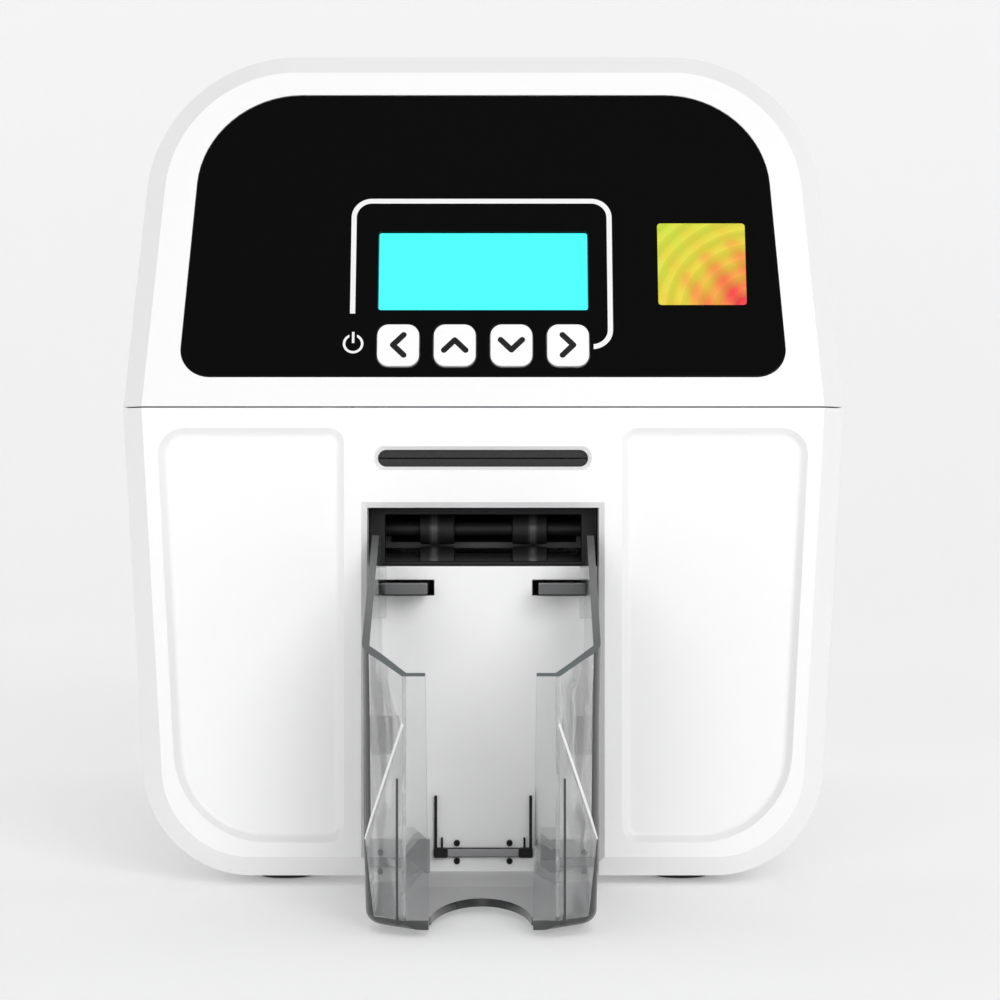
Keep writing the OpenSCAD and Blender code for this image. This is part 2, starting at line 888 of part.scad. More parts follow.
// One belt drives the eject and exit rollers from the inlet roller
module exit_belt() {
    x = [-belt_x2 - belt_w, -belt_x2];
    color("black")
        difference() {
            hull()
                for (c = [DRIVE[0], DRIVE[4], DRIVE[5]])
                    rod(x, c[0], c[1], pulley_r + belt_gap + belt_t);
            hull()
                for (c = [DRIVE[0], DRIVE[4], DRIVE[5]])
                    rod(x + [-1, 1], c[0], c[1], pulley_r + belt_gap);
        }
}

module feed_motor() {
    color("darkgray")
        difference() {
            union() {
                rod([-plate_x, -plate_x + motor_l], motor_at, motor_z, motor_r);
                rod([-plate_out - 0.5, -plate_x], motor_at, motor_z, 7.5);
                slab([-plate_x, -plate_x + 2], [motor_at - 25, motor_at + 25], [motor_z - 6, motor_z + 6]);
            }
            rod([-50, -plate_x + motor_l - 6], motor_at, motor_z, motor_shaft_r + run);
        }
}

module motor_pulley() {
    color("silver") {
        rod([-belt_x2 - belt_w - 1.1, -plate_x + motor_l - 10], motor_at, motor_z, motor_shaft_r);
        pulley([motor_at, motor_z], belt_x2, motor_pulley_r);
    }
}

// Two end plates and the bars that the film runs round
module ribbon_cassette() {
    low = rail_top + gap;
    high = spool_z + flange_r;
    color("whitesmoke")
        difference() {
            union() {
                slab_pair([cassette_x, guide_x], [used_d - 12, supply_d + 12], [low + 2, spool_z + 12]);
                for (d = [used_d, supply_d])
                    for (side = [-1, 1])
                        rod([min(side * cassette_x, side * guide_x), max(side * cassette_x, side * guide_x)],
                            d, spool_z, 16);
                for (d = [platen_at - bar_offset, platen_at + bar_offset])
                    rod([-cassette_x - 0.5, cassette_x + 0.5], d, bar_z, bar_r);
                for (d = [used_d - 24, supply_d + 24])
                    rod([-cassette_x - 0.5, cassette_x + 0.5], d, high - 6, 2);
                for (side = [0, 1])
                    mirror([side, 0, 0])
                        for (end = [[used_d - 27, used_d - 10], [supply_d + 10, supply_d + 27]])
                            slab([cassette_x, guide_x], end, [high - 12, high - 2]);
            }
            for (d = [used_d, supply_d])
                rod([-50, 50], d, spool_z, hub_r + run);
        }
}

module spool(d, r, left) {
    color("gainsboro") {
        rod([-left, guide_x], d, spool_z, hub_r);
        for (x = [-cassette_x + 0.5, cassette_x - 2])
            rod([x, x + 1.5], d, spool_z, flange_r);
    }
    color("dimgray")
        rod([-cassette_x + 2, cassette_x - 2], d, spool_z, r);
}

module supply_spool() {
    spool(supply_d, supply_r, guide_x);
}

module take_up_spool() {
    spool(used_d, used_r, plate_out + 3);
}

// Where a line from point p touches a circle of radius r round c, on its lower side
function touch(p, c, r, side) =
    let (v = c - p, far = norm(v), aim = atan2(v[1], v[0]), turn = asin(r / far))
        p + sqrt(far * far - r * r) * [cos(aim + side * turn), sin(aim + side * turn)];

module ribbon_film() {
    lift = film_t;
    p = [platen_at - bar_offset, film_z];
    q = [platen_at + bar_offset, film_z];
    a = touch(p, [used_d, spool_z], used_r + gap + lift, 1);
    b = touch(q, [supply_d, spool_z], supply_r + gap + lift, -1);
    color("slategray")
        side_profile([-film_x, film_x], [
            a, p, q, b, b + [-0.15, lift], q + [0, lift], p + [0, lift], a + [0.15, lift]
        ]);
}

module ribbon_motor() {
    x0 = plate_out + 3 + gap;
    color("darkgray") {
        rod([-x0 - 30, -x0], used_d, spool_z, 12);
        slab([-x0, -plate_out], [used_d - 12, used_d + 12], [rail_top + 1, plate_top - 1]);
        slab([-x0 - 2, -x0], [used_d - 12, used_d + 12], [rail_top + 1, spool_z]);
    }
}

module card_magazine() {
    z = [magazine_z, magazine_z + magazine_h];
    d = [magazine_d, magazine_d + magazine_l];
    inner_x = channel_x + 0.3;
    color("dimgray")
        difference() {
            union() {
                slab([-inner_x - mag_wall, inner_x + mag_wall], d, z);
                for (share = [0, 0.5, 1]) {
                    rib_d = d[0] + 8 + share * (magazine_l - 24);
                    slab([-guide_x, guide_x], [rib_d, rib_d + 4], [z[0], plate_top]);
                }
            }
            slab([-inner_x, inner_x], [d[0] + mag_wall, d[1] - mag_wall], [z[0] - 1, z[1] + 1]);
            // Low finger cut in the front wall
            slab([-12, 12], [d[0] - 1, d[0] + mag_wall + 1], [z[0] + magazine_h / 2, z[1] + 1]);
        }
}

module card_weight() {
    d = [magazine_d + mag_wall + 0.8, magazine_d + magazine_l - mag_wall - 0.8];
    x = channel_x - 0.4;
    z = path_z + gap;
    color("silver") {
        slab([-x, x], d, [z, z + 6]);
        slab([-4, 4], [d[0] + 20, d[1] - 20], [z + 6, z + 14]);
    }
}

module standoffs() {
    color("goldenrod")
        for (d = [board_d[0] + 50, board_d[1] - 6], z = [board_z[0] + 6, board_z[1] - 10])
            rod([plate_out, board_x], d, z, 3);
}

// The board with its chips, plugs and cans
module main_board() {
    x = board_x + board_t;
    d = board_d[0];
    z = board_z[0];
    color("seagreen")
        slab([board_x, x], board_d, board_z);
    color("dimgray") {
        slab([x, x + 2], [d + 58, d + 84], [z + 34, z + 60]);
        slab([x, x + 1.4], [d + 94, d + 110], [z + 38, z + 54]);
        slab([x, x + 1.4], [d + 34, d + 46], [z + 38, z + 62]);
        for (i = [0:4])
            slab([x, x + 8], [d + 128 + i * 18, d + 140 + i * 18], [z + 74, z + 82]);
        slab([x, x + 9], [d + 8, d + 16], [z + 18, z + 62]);
    }
    color("midnightblue")
        for (i = [0:3])
            rod([x, x + 14], d + 138 + i * 16, z + 18, 6);
}

module power_supply() {
    psu_sheet = 1.2;
    color("lightgray")
        difference() {
            slab(psu_x, psu_d, [psu_z, psu_z + psu_h]);
            slab(
                psu_x + [psu_sheet, -psu_sheet],
                psu_d + [psu_sheet, -psu_sheet],
                [psu_z + psu_sheet, psu_z + psu_h - psu_sheet]
            );
            for (i = [0:8], x = [psu_x[0] + 6, psu_x[1] - 16])
                slab(
                    [x, x + 10],
                    [psu_d[0] + 14 + i * 10, psu_d[0] + 18 + i * 10],
                    [psu_z + psu_h - 4, psu_z + psu_h + 2]
                );
        }
}

module socket_box(x, w, h, d, more) {
    slab([x - w / 2 - more, x + w / 2 + more], d, [socket_z - h / 2 - more, socket_z + h / 2 + more]);
}

module rear_panel() {
    hole_d = [rear_plate[0] - 1, rear_plate[1] + 1];
    color("silver")
        difference() {
            slab([window_x[0] - 4, window_x[1] + 4], rear_plate, [window_z[0] - 4, window_z[1] + 4]);
            socket_box(inlet_x, inlet_size[0], inlet_size[1], hole_d, gap);
            socket_box(switch_x, switch_size[0], switch_size[1], hole_d, gap);
            socket_box(net_x, net_size[0], net_size[1], hole_d, gap);
            socket_box(data_x, data_size[0], data_size[1], hole_d, gap);
        }
}

// Appliance inlet with three pins in a recess
module power_inlet() {
    d1 = rear_plate[1] + 1.8;
    color("black")
        difference() {
            union() {
                socket_box(inlet_x, inlet_size[0], inlet_size[1], [rear_plate[1] - 22, d1], 0);
                socket_box(inlet_x, inlet_size[0], inlet_size[1], [rear_plate[1], d1], 2);
            }
            socket_box(inlet_x, inlet_size[0], inlet_size[1], [rear_plate[1] - 16, d1 + 1], -2.4);
        }
    color("silver")
        for (p = [[-7, -2], [0, 3], [7, -2]])
            slab([inlet_x + p[0] - 1, inlet_x + p[0] + 1], [rear_plate[1] - 17, rear_plate[1] - 2],
                [socket_z + p[1] - 2, socket_z + p[1] + 2]);
}

// Rocker on a cross pin, at rest at one end of its travel
module power_switch() {
    pivot = [0, front_y + rear_plate[1] - 4, socket_z];
    color("black")
        translate(pivot)
            rotate([switch_tilt, 0, 0])
                translate(-pivot)
                    intersection() {
                        rod([switch_x - switch_size[0] / 2 + gap, switch_x + switch_size[0] / 2 - gap],
                            rear_plate[1] - 4, socket_z, 8.2);
                        slab([switch_x - 10, switch_x + 10], [rear_plate[1] - 9, rear_plate[1] + 3.2],
                            [socket_z - 7.4, socket_z + 7.4]);
                    }
}

module socket(x, size, depth) {
    d1 = rear_plate[1] + 1;
    color("silver")
        difference() {
            socket_box(x, size[0], size[1], [rear_plate[1] - depth, d1], 0);
            socket_box(x, size[0], size[1], [rear_plate[1] - depth + 2, d1 + 1], -1.5);
        }
    color("black")
        socket_box(x, size[0], size[1], [rear_plate[1] - depth + 2, rear_plate[1] - 4], -size[1] / 2 + 2);
}

module network_socket() {
    socket(net_x, net_size, 20);
}

module data_socket() {
    socket(data_x, data_size, 16);
}

module fan_frame() {
    arm = fan_w / 2 - 1;
    color("black") {
        difference() {
            slab([fan_x - fan_w / 2, fan_x + fan_w / 2], fan_d, [fan_z - fan_w / 2, fan_z + fan_w / 2]);
            rod_y(fan_x, fan_z, [fan_d[0] - 1, fan_d[1] + 1], fan_w / 2 - 1.5);
        }
        difference() {
            union() {
                rod_y(fan_x, fan_z, [fan_d[0], fan_d[0] + 2], 7);
                slab([fan_x - arm, fan_x + arm], [fan_d[0], fan_d[0] + 1.5], [fan_z - 1, fan_z + 1]);
                slab([fan_x - 1, fan_x + 1], [fan_d[0], fan_d[0] + 1.5], [fan_z - arm, fan_z + arm]);
            }
            rod_y(fan_x, fan_z, [fan_d[0] - 1, fan_d[0] + 5], 1.5 + run);
        }
    }
}

module fan_rotor() {
    color("dimgray") {
        rod_y(fan_x, fan_z, [fan_d[0] + 0.2, fan_d[0] + 6], 1.5);
        rod_y(fan_x, fan_z, [fan_d[0] + 2.4, fan_d[1] - 0.6], 7.5);
        for (i = [0:6])
            translate([fan_x, front_y + fan_d[0] + 2.6, fan_z])
                rotate([0, i * 360 / 7, 0])
                    translate([6.5, 0, -0.6])
                        rotate([28, 0, 0])
                            cube([fan_w / 2 - 9.5, 5.2, 1.2]);
    }
}

module bay_panel() {
    through = [bay_depth - 1, bay_depth + 4];
    color("white")
        difference() {
            slab([-bay_x + 0.2, bay_x - 0.2], [bay_depth, bay_depth + bay_panel_t], [foot_h, bay_panel_top]);
            slab_pair(hook_x, through, hook_z);
            slab_pair([side_hook_x[1], bay_x - 1.2], through, [side_hook_z[1], side_hook_z[2]]);
            slab_pair([side_hook_x[0], bay_x - 1.2], through, [side_hook_z[0], side_hook_z[1]]);
        }
}

// Dark frame round the mouth that the cards leave by
module exit_bezel() {
    color("black")
        difference() {
            slab(
                [-bay_x + 0.2, bay_x - 0.2],
                [bay_depth, bay_depth + 3.6],
                [bay_panel_top + 0.2, bay_top - 0.2]
            );
            slab(
                [-channel_x - 1, channel_x + 1],
                [bay_depth - 1, bay_depth + 5],
                [bay_panel_top + 1.4, bay_top - 2]
            );
        }
}

// Bar, clips, posts and screws at the bottom of the bay
module hopper_clip() {
    face = bay_depth;
    color("dimgray") {
        slab([-10, 10], [face - 2.5, face], [foot_h + 4.5, foot_h + 7]);
        slab_pair([10, 14.6], [face - 3.2, face], [foot_h + 2.5, foot_h + 8.5]);
        slab_pair([12.9, 14.1], [face - 2, face], [foot_h + 9.7, foot_h + 22.4]);
    }
    color("silver")
        for (x = [-7.5, 7.5], z = [foot_h + 2.2, foot_h + 9.3])
            rod_y(x, z, [face - 1, face], 1.4);
}

// A cross section of the hopper at one height, slanting off the front corners
module hopper_section(z, inset, corner) {
    x = hopper_half(z) - inset;
    front = hopper_reach - inset;
    turn = hopper_flat_x - inset / 2;
    translate([0, 0, z])
        linear_extrude(0.01)
            polygon([
                [-x, front_y + 8], [-x, front_y - front + corner], [-turn, front_y - front],
                [turn, front_y - front], [x, front_y - front + corner], [x, front_y + 8]
            ]);
}

function hopper_half(z) =
    hopper_low_x + (hopper_top_x - hopper_low_x) * (z - hopper_z) / (hopper_rear_top - hopper_z);

module hopper_body(inset, low) {
    hull() {
        hopper_section(low, inset, hopper_low_corner);
        hopper_section(crease_low, inset, hopper_low_corner);
        hopper_section(crease_high, inset, hopper_corner);
    }
    hull() {
        hopper_section(crease_high, inset, hopper_corner);
        hopper_section(hopper_rear_top + 4, inset, hopper_corner);
    }
}

module card_hopper() {
    slope = (hopper_rear_top - hopper_front_top) / hopper_reach;
    half_notch = finger_x - 1.4;
    color("lightgray", 0.5)
        union() {
            difference() {
                hopper_body(0, hopper_z);
                hopper_body(hopper_wall, hopper_z + hopper_wall + 0.2);
                // Open rear end
                slab([-hopper_low_x + hopper_wall, hopper_low_x - hopper_wall], [-5, 12],
                    [hopper_z + hopper_wall + 0.2, hopper_rear_top + 10]);
                // Sloping top edge
                side_profile([-50, 50], [
                    [20, hopper_rear_top], [0, hopper_rear_top],
                    [-hopper_reach - 5, hopper_rear_top - slope * (hopper_reach + 5)],
                    [-hopper_reach - 5, hopper_rear_top + 20], [20, hopper_rear_top + 20]
                ]);
                // Finger gap through the front wall
                translate([0, front_y - hopper_reach + 8, 0])
                    rotate([90, 0, 0])
                        linear_extrude(20)
                            polygon([
                                [-half_notch, 0], [half_notch, 0],
                                [finger_x, hopper_rear_top], [-finger_x, hopper_rear_top]
                            ]);
                // Finger notch in the floor
                translate([0, front_y - hopper_reach, 0])
                    linear_extrude(hopper_z + hopper_wall + 1)
                        polygon([
                            for (a = [0:6:180])
                                [half_notch * cos(a), notch_reach * sin(a) - 0.1]
                        ]);
            }
            // Ribs beside the finger gap
            slab_pair([20.4, 21.6], [-hopper_reach + 1, -hopper_reach + 3], [hopper_z + 1, 40]);
            // Hooks that sit in the notches of the bay panel
            slab_pair(
                [23, hopper_low_x - 0.5],
                [-3, bay_depth + bay_panel_t + 1.5],
                [hook_z[0] + 0.8, hook_z[1] - 0.8]
            );
            slab_pair([hopper_low_x - 2, hopper_low_x + 0.5], [-3, 7], [hook_z[0] - 6, hook_z[1] + 4]);
        }
}

module hinge_pins() {
    color("silver")
        for (side = [-1, 1])
            rod([side * ear_x - 14, side * ear_x + 14], axis_d, parting_z, pin_r);
}

// Outline of the control panel on the slope
module panel_outline(more) {
    low_r = 8.5;
    top_r = 30;
    hull() {
        for (side = [-1, 1]) {
            translate([side * (panel_x - low_r), panel_low + low_r])
                circle(low_r + more);
            translate([side * (panel_x - top_r - 3), panel_low + panel_h - top_r])
                circle(top_r + more);
        }
    }
}

module panel_plate(more, y) {
    translate([0, y[1], 0])
        rotate([90, 0, 0])
            linear_extrude(y[1] - y[0])
                panel_outline(more);
}

module lid_shell() {
    color("white")
        difference() {
            union() {
                difference() {
                    lid_body(rim, 0, 0, 0);
                    lid_body(rim + wall - 1, front_wall, wall, wall);
                    slab(
                        [-half_w - 5, half_w + 5],
                        [-30, body_d + 5],
                        [parting_z - 60, parting_z + seam / 2]
                    );
                }
                // Hinge barrel, hollow between the ears, with ends that follow the case
                difference() {
                    intersection() {
                        rod([-half_w, half_w], axis_d, parting_z, barrel_r);
                        base_body(rim, 0, 0, 0);
                    }
                    rod([-ear_x + 16, ear_x - 16], axis_d, parting_z, barrel_r - 2.5);
                }
                // Tabs that drop behind the front of the lower case
                slab_pair(
                    [tab_x - 2, tab_x + 2],
                    [front_wall + 0.6, front_wall + 3],
                    [parting_z - 8, parting_z + 4]
                );
                // Posts for the panel board
                on_slope()
                    for (x = [-panel_post_x, panel_post_x], v = panel_board_v + [5, -5])
                        translate([x, front_wall - 0.5, v])
                            rotate([-90, 0, 0])
                                cylinder(r = panel_post_r, h = panel_board_y - front_wall + 0.5);
            }
            on_slope() {
                panel_plate(0.15, [-1, panel_t]);
                slope_plate(
                    [-panel_window_x, panel_window_x],
                    [panel_low + 1.8, panel_low + 54],
                    [0, front_wall + 1],
                    3
                );
            }
            // Room for the hinge ears and the pins
            for (x = EARS)
                rod(x + ear_room, axis_d, parting_z, barrel_r + gap);
            rod([-ear_x - 14.3, ear_x + 14.3], axis_d, parting_z, pin_r + run);
        }
}

module control_panel() {
    color("black")
        on_slope()
            difference() {
                panel_plate(0, [0, panel_t]);
                slope_plate(
                    [-lcd_w / 2 - 0.2, lcd_w / 2 + 0.2],
                    [lcd_low - 0.2, lcd_low + lcd_h + 0.2],
                    [-1, panel_t + 1],
                    0.8
                );
                for (x = key_x)
                    slope_plate(
                        [x - key_w / 2 - gap, x + key_w / 2 + gap],
                        [key_low - key_h / 2 - gap, key_low + key_h / 2 + gap],
                        [-1, panel_t + 1],
                        key_r + gap
                    );
            }
}

module display_module() {
    color("silver")
        on_slope()
            slope_plate(
                [-lcd_w / 2 - 4, lcd_w / 2 + 4],
                [lcd_low - 1, lcd_low + lcd_h + 4],
                [panel_t, panel_board_y],
                1
            );
}

module display_glass() {
    color("cyan")
        on_slope()
            slope_plate([-lcd_w / 2, lcd_w / 2], [lcd_low, lcd_low + lcd_h], [0.6, panel_t], 0.6);
}

module panel_board() {
    color("seagreen")
        on_slope()
            slope_plate([-panel_post_x - 4, panel_post_x + 4], panel_board_v,
                [panel_board_y, panel_board_y + board_t], 2);
}

module key_mat() {
    color("gray")
        on_slope()
            slope_plate([key_x[0] - 7.4, key_x[3] + 7.4], [key_low - 7.2, key_low + 7.2],
                [key_flange[1] + key_travel + gap, panel_board_y], 2);
}

// A key cap that is kept in by a flange behind the panel
module key_cap(x) {
    color("white")
        on_slope() {
            slope_plate([x - key_w / 2, x + key_w / 2], [key_low - key_h / 2, key_low + key_h / 2],
                [-key_proud, key_flange[0] + 0.2], key_r);
            slope_plate(
                [x - key_w / 2 - 1.2, x + key_w / 2 + 1.2],
                [key_low - key_h / 2 - 0.9, key_low + key_h / 2 + 0.9],
                key_flange,
                key_r
            );
        }
}

module key_back() {
    key_cap(key_x[0]);
}

module key_up() {
    key_cap(key_x[1]);
}

module key_down() {
    key_cap(key_x[2]);
}

module key_next() {
    key_cap(key_x[3]);
}

module foil_label() {
    low = lcd_low + 1.2;
    left = lcd_w / 2 + 20.4;
    color("gold")
        on_slope()
            slope_plate([left, left + label_w], [low, low + label_w], [-0.15, 0], 1);
}

module head_bracket() {
    top = top_z - wall;
    color("lightsteelblue") {
        slab([-head_x, head_x], [platen_at - 11, platen_at + 11], [bracket_z, bracket_z + 2]);
        slab_pair([head_x - 9, head_x], [platen_at - 9, platen_at + 9], [bracket_z + 2, top]);
    }
}

// A block with upright fins
module heat_sink() {
    d = [platen_at - 10, platen_at + 10];
    color("darkgray")
        difference() {
            slab([-head_x + 2, head_x - 2], d, [sink_z, bracket_z]);
            for (i = [0:4])
                slab(
                    [-head_x, head_x],
                    [d[0] + 2 + i * 3.6, d[0] + 3.6 + i * 3.6],
                    [sink_z + 5, bracket_z - 2]
                );
        }
}

module print_head() {
    color("saddlebrown") {
        slab([-head_x, head_x], [platen_at - 9, platen_at + 9], [head_z + 1.6, sink_z]);
        slab([-head_x + 1, head_x - 1], [platen_at - 3, platen_at + 3], [head_z, head_z + 1.6]);
    }
}

base_shell();
feet();
chassis();
chassis_screws();
bushes();
upper_guide();
rear_guide();
exit_chute();
path_gate();
inlet_roller();
platen_roller();
feed_roller();
pick_roller();
eject_roller();
exit_roller();
inlet_pinch();
eject_pinch();
feed_pinch();
exit_pinch();
transport_belt();
motor_belt();
exit_belt();
feed_motor();
motor_pulley();
ribbon_cassette();
supply_spool();
take_up_spool();
ribbon_film();
ribbon_motor();
card_magazine();
card_weight();
standoffs();
main_board();
power_supply();
rear_panel();
power_inlet();
power_switch();
network_socket();
data_socket();
fan_frame();
fan_rotor();
bay_panel();
exit_bezel();
hopper_clip();
card_hopper();
hinge_pins();
lid_shell();
control_panel();
display_module();
display_glass();
panel_board();
key_mat();
key_back();
key_up();
key_down();
key_next();
foil_label();
head_bracket();
heat_sink();
print_head();
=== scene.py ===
# Desktop card printer: the look of every piece, in the order in which the printer is put together.
# Sizes are in millimetres: x across, d the depth behind the front face, z the height over the table.
import json
import math

import bmesh
import bpy
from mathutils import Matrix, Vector

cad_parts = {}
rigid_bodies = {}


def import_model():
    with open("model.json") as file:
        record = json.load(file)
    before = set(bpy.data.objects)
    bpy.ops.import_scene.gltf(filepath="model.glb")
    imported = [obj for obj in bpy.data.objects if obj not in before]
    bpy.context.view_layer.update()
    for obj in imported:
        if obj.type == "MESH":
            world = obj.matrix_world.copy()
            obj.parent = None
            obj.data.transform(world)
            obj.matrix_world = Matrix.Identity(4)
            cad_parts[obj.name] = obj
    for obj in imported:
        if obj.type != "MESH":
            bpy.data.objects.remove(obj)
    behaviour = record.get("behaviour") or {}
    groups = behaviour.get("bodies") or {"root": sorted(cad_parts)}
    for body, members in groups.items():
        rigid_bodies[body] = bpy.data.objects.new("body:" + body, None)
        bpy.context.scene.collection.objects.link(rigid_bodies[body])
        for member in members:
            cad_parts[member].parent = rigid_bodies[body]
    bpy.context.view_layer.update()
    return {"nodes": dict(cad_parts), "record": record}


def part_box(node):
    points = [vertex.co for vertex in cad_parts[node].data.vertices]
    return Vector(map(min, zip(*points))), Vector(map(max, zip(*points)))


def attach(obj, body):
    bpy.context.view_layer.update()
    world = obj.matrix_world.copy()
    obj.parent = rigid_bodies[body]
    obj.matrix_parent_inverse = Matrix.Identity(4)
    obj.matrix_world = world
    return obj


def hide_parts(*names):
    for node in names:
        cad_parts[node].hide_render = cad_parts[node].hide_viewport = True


bpy.ops.object.select_all(action="SELECT")
bpy.ops.object.delete()
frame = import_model()

# The camera stands in front of the printer at half its height, a little to the right, and looks level.
# Its place follows from the width of the card slot and from how much nearer the hopper looks.
front_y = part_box("base_shell")[0].y


def place(x, d, z):
    """A point of the printer, in metres."""
    return (x / 1000, front_y + d / 1000, z / 1000)


def mm(*sizes):
    """Millimetres in metres: one number, or a step in x, y and z."""
    return sizes[0] / 1000 if len(sizes) == 1 else tuple(size / 1000 for size in sizes)


camera_data = bpy.data.cameras.new("photo_camera")
camera_data.sensor_width = 36
camera_data.lens = 103
camera = bpy.data.objects.new("photo_camera", camera_data)
camera.location = place(4.85, -815, 110.7)
camera.rotation_euler = (math.radians(90), 0, 0)
bpy.context.scene.collection.objects.link(camera)
bpy.context.scene.camera = camera
bpy.context.scene.view_settings.view_transform = "Standard"

# Soft studio light: a broad key light in front and a little to the right, weaker ones at the left and above,
# and two that light the paper behind, in a pale room.
room = bpy.data.worlds.new("pale_room")
room.use_nodes = True
room.node_tree.nodes["Background"].inputs["Color"].default_value = (1, 1, 1, 1)
room.node_tree.nodes["Background"].inputs["Strength"].default_value = 0.5
bpy.context.scene.world = room
for lamp_name, lamp_place, aim, lamp_size, watts in (
    ("key_light", (0.55, -1.9, 0.75), (0, 0, 0.12), 1.0, 15),
    ("fill_light", (-0.55, -2.0, 0.3), (0, 0, 0.1), 0.8, 6.5),
    ("top_light", (0, 0.3, 2.0), (0, 0.1, 0), 1.4, 3),
    ("paper_light_left", (-1.6, 0.9, 1.3), (-0.3, 2.6, 0.3), 1.2, 4.4),
    ("paper_light_right", (1.6, 0.9, 1.3), (0.3, 2.6, 0.3), 1.2, 4.4),
):
    lamp_data = bpy.data.lights.new(lamp_name, "AREA")
    lamp_data.shape = "DISK"
    lamp_data.size = lamp_size
    lamp_data.energy = watts
    lamp = bpy.data.objects.new(lamp_name, lamp_data)
    lamp.location = lamp_place
    lamp.rotation_euler = (Vector(lamp_place) - Vector(aim)).to_track_quat("Z", "Y").to_euler()
    bpy.context.scene.collection.objects.link(lamp)


# The floor is one matt pale sheet that curves up behind the printer, as in a photo studio. A little light
# comes through it, as on a light table.
class Wire:
    """A socket in a material. Sums and products of wires add Math nodes."""

    def __init__(self, tree, socket=None):
        self.tree = tree
        self.socket = socket

    def node(self, kind, settings=None, inputs=None, out=0):
        """Adds a node: its settings first, then the values or links of its sockets."""
        made = self.tree.nodes.new("ShaderNode" + kind)
        for name, value in (settings or {}).items():
            setattr(made, name, value)
        for key, value in (inputs or {}).items():
            if isinstance(value, Wire):
                self.tree.links.new(value.socket, made.inputs[key])
            else:
                made.inputs[key].default_value = value
        return Wire(self.tree, made.outputs[out])

    def maths(self, operation, *values):
        return self.node("Math", {"operation": operation}, dict(enumerate((self, *values))))

    def __add__(self, other):
        return self.maths("ADD", other)

    def __radd__(self, other):
        return self + other

    def __sub__(self, other):
        return self.maths("SUBTRACT", other)

    def __rsub__(self, other):
        return self * -1 + other

    def __mul__(self, other):
        return self.maths("MULTIPLY", other)

    def __rmul__(self, other):
        return self * other

    def __truediv__(self, other):
        return self.maths("DIVIDE", other)

    def __gt__(self, other):
        return self.maths("GREATER_THAN", other)

    def __lt__(self, other):
        return self.maths("LESS_THAN", other)

    def size(self):
        return self.maths("ABSOLUTE")

    def wave(self, length):
        """A sine of this length in millimetres, from 0 to 1."""
        return 0.5 + 0.5 * (self * (2 * math.pi / mm(length))).maths("SINE")

    def noise(self, scale, detail=2.0):
        """Cloudy noise at this place, about 0.5 on average."""
        return self.node("TexNoise", None, {"Vector": self, "Scale": scale, "Detail": detail})

    def blend(self, low, high):
        """A colour that goes from low to high as this value goes from 0 to 1."""
        ends = [end if isinstance(end, Wire) else (*end, 1) for end in (low, high)]
        return self.node("Mix", {"data_type": "RGBA"}, {0: self, 6: ends[0], 7: ends[1]}, 2)

    def relief(self, height):
        """The bumpy normal of this height map, whose full range is so many millimetres."""
        return self.node("Bump", None, {"Height": self, "Distance": mm(height), "Strength": 1.0})

    def part(self, axis):
        """The x, y or z of this vector."""
        return self.node("SeparateXYZ", None, {0: self}, "xyz".index(axis))

    def stretched(self, x, y, z):
        """This place with each axis stretched."""
        return self.node("VectorMath", {"operation": "MULTIPLY"}, {0: self, 1: (x, y, z)})

    def into(self, shader, socket):
        self.tree.links.new(self.socket, shader.inputs[socket])


def new_material(name, colour, roughness, **constants):
    """A material with fixed values, its shader, and the wire of its place on the object."""
    material = bpy.data.materials.new(name)
    material.use_nodes = True
    shader = material.node_tree.nodes["Principled BSDF"]
    shader.inputs["Base Color"].default_value = (*colour, 1)
    shader.inputs["Roughness"].default_value = roughness
    for socket, value in constants.items():
        shader.inputs[socket.replace("_", " ")].default_value = value
    return material, shader, Wire(material.node_tree).node("TexCoord", None, None, 3)


def grain(material_parts, tone, patch, rough, spread, bump_scale, bump_height):
    """Clouds of tone and sheen over a surface, and its fine grain."""
    shader, spot = material_parts[1:]
    colour = tuple(shader.inputs["Base Color"].default_value)[:3]
    darker = tuple(c * (1 - tone) for c in colour)
    spot.noise(patch, 3.0).blend(darker, colour).into(shader, "Base Color")
    (rough - spread / 2 + spread * spot.noise(patch * 2.3, 3.0)).into(shader, "Roughness")
    spot.noise(bump_scale, 2.0).relief(bump_height).into(shader, "Normal")
    return material_parts[0]


def alone(piece):
    """Leaves edit mode, and makes this piece the only one selected."""
    if bpy.context.object and bpy.context.object.mode == "EDIT":
        bpy.ops.object.mode_set(mode="OBJECT")
    bpy.ops.object.select_all(action="DESELECT")
    if piece:
        piece.select_set(True)
        bpy.context.view_layer.objects.active = piece


def pick(piece, kind, test):
    """In edit mode, selects the corners, edges or faces that pass a test of their place and their way."""
    if bpy.context.object is not piece or piece.mode != "EDIT":
        alone(piece)
        bpy.ops.object.mode_set(mode="EDIT")
    bpy.ops.mesh.select_mode(type=kind)
    bpy.ops.mesh.select_all(action="DESELECT")
    mesh = bmesh.from_edit_mesh(piece.data)
    face_middle = Vector(place(0, 0, 0))

    def at(point):
        return (point - face_middle) * 1000

    if kind == "VERT":
        for corner in mesh.verts:
            corner.select = bool(test(at(corner.co), corner.normal))
    elif kind == "EDGE":
        for edge in mesh.edges:
            start, end = (at(corner.co) for corner in edge.verts)
            edge.select = bool(test((start + end) / 2, end - start))
    else:
        for face in mesh.faces:
            face.select = bool(test(at(face.calc_center_median()), face.normal))
    mesh.select_flush_mode()
    bmesh.update_edit_mesh(piece.data)


def bevel(width, segments=1):
    """Rounds the selected edges, or cuts them off flat with one segment."""
    bpy.ops.mesh.bevel(offset=mm(width), segments=segments, profile=0.5, affect="EDGES")


def squeeze(share, middle=(0, 0, 0)):
    """Makes what is selected narrower or wider by this factor."""
    bpy.ops.transform.resize(value=(share, 1, 1), center_override=middle)


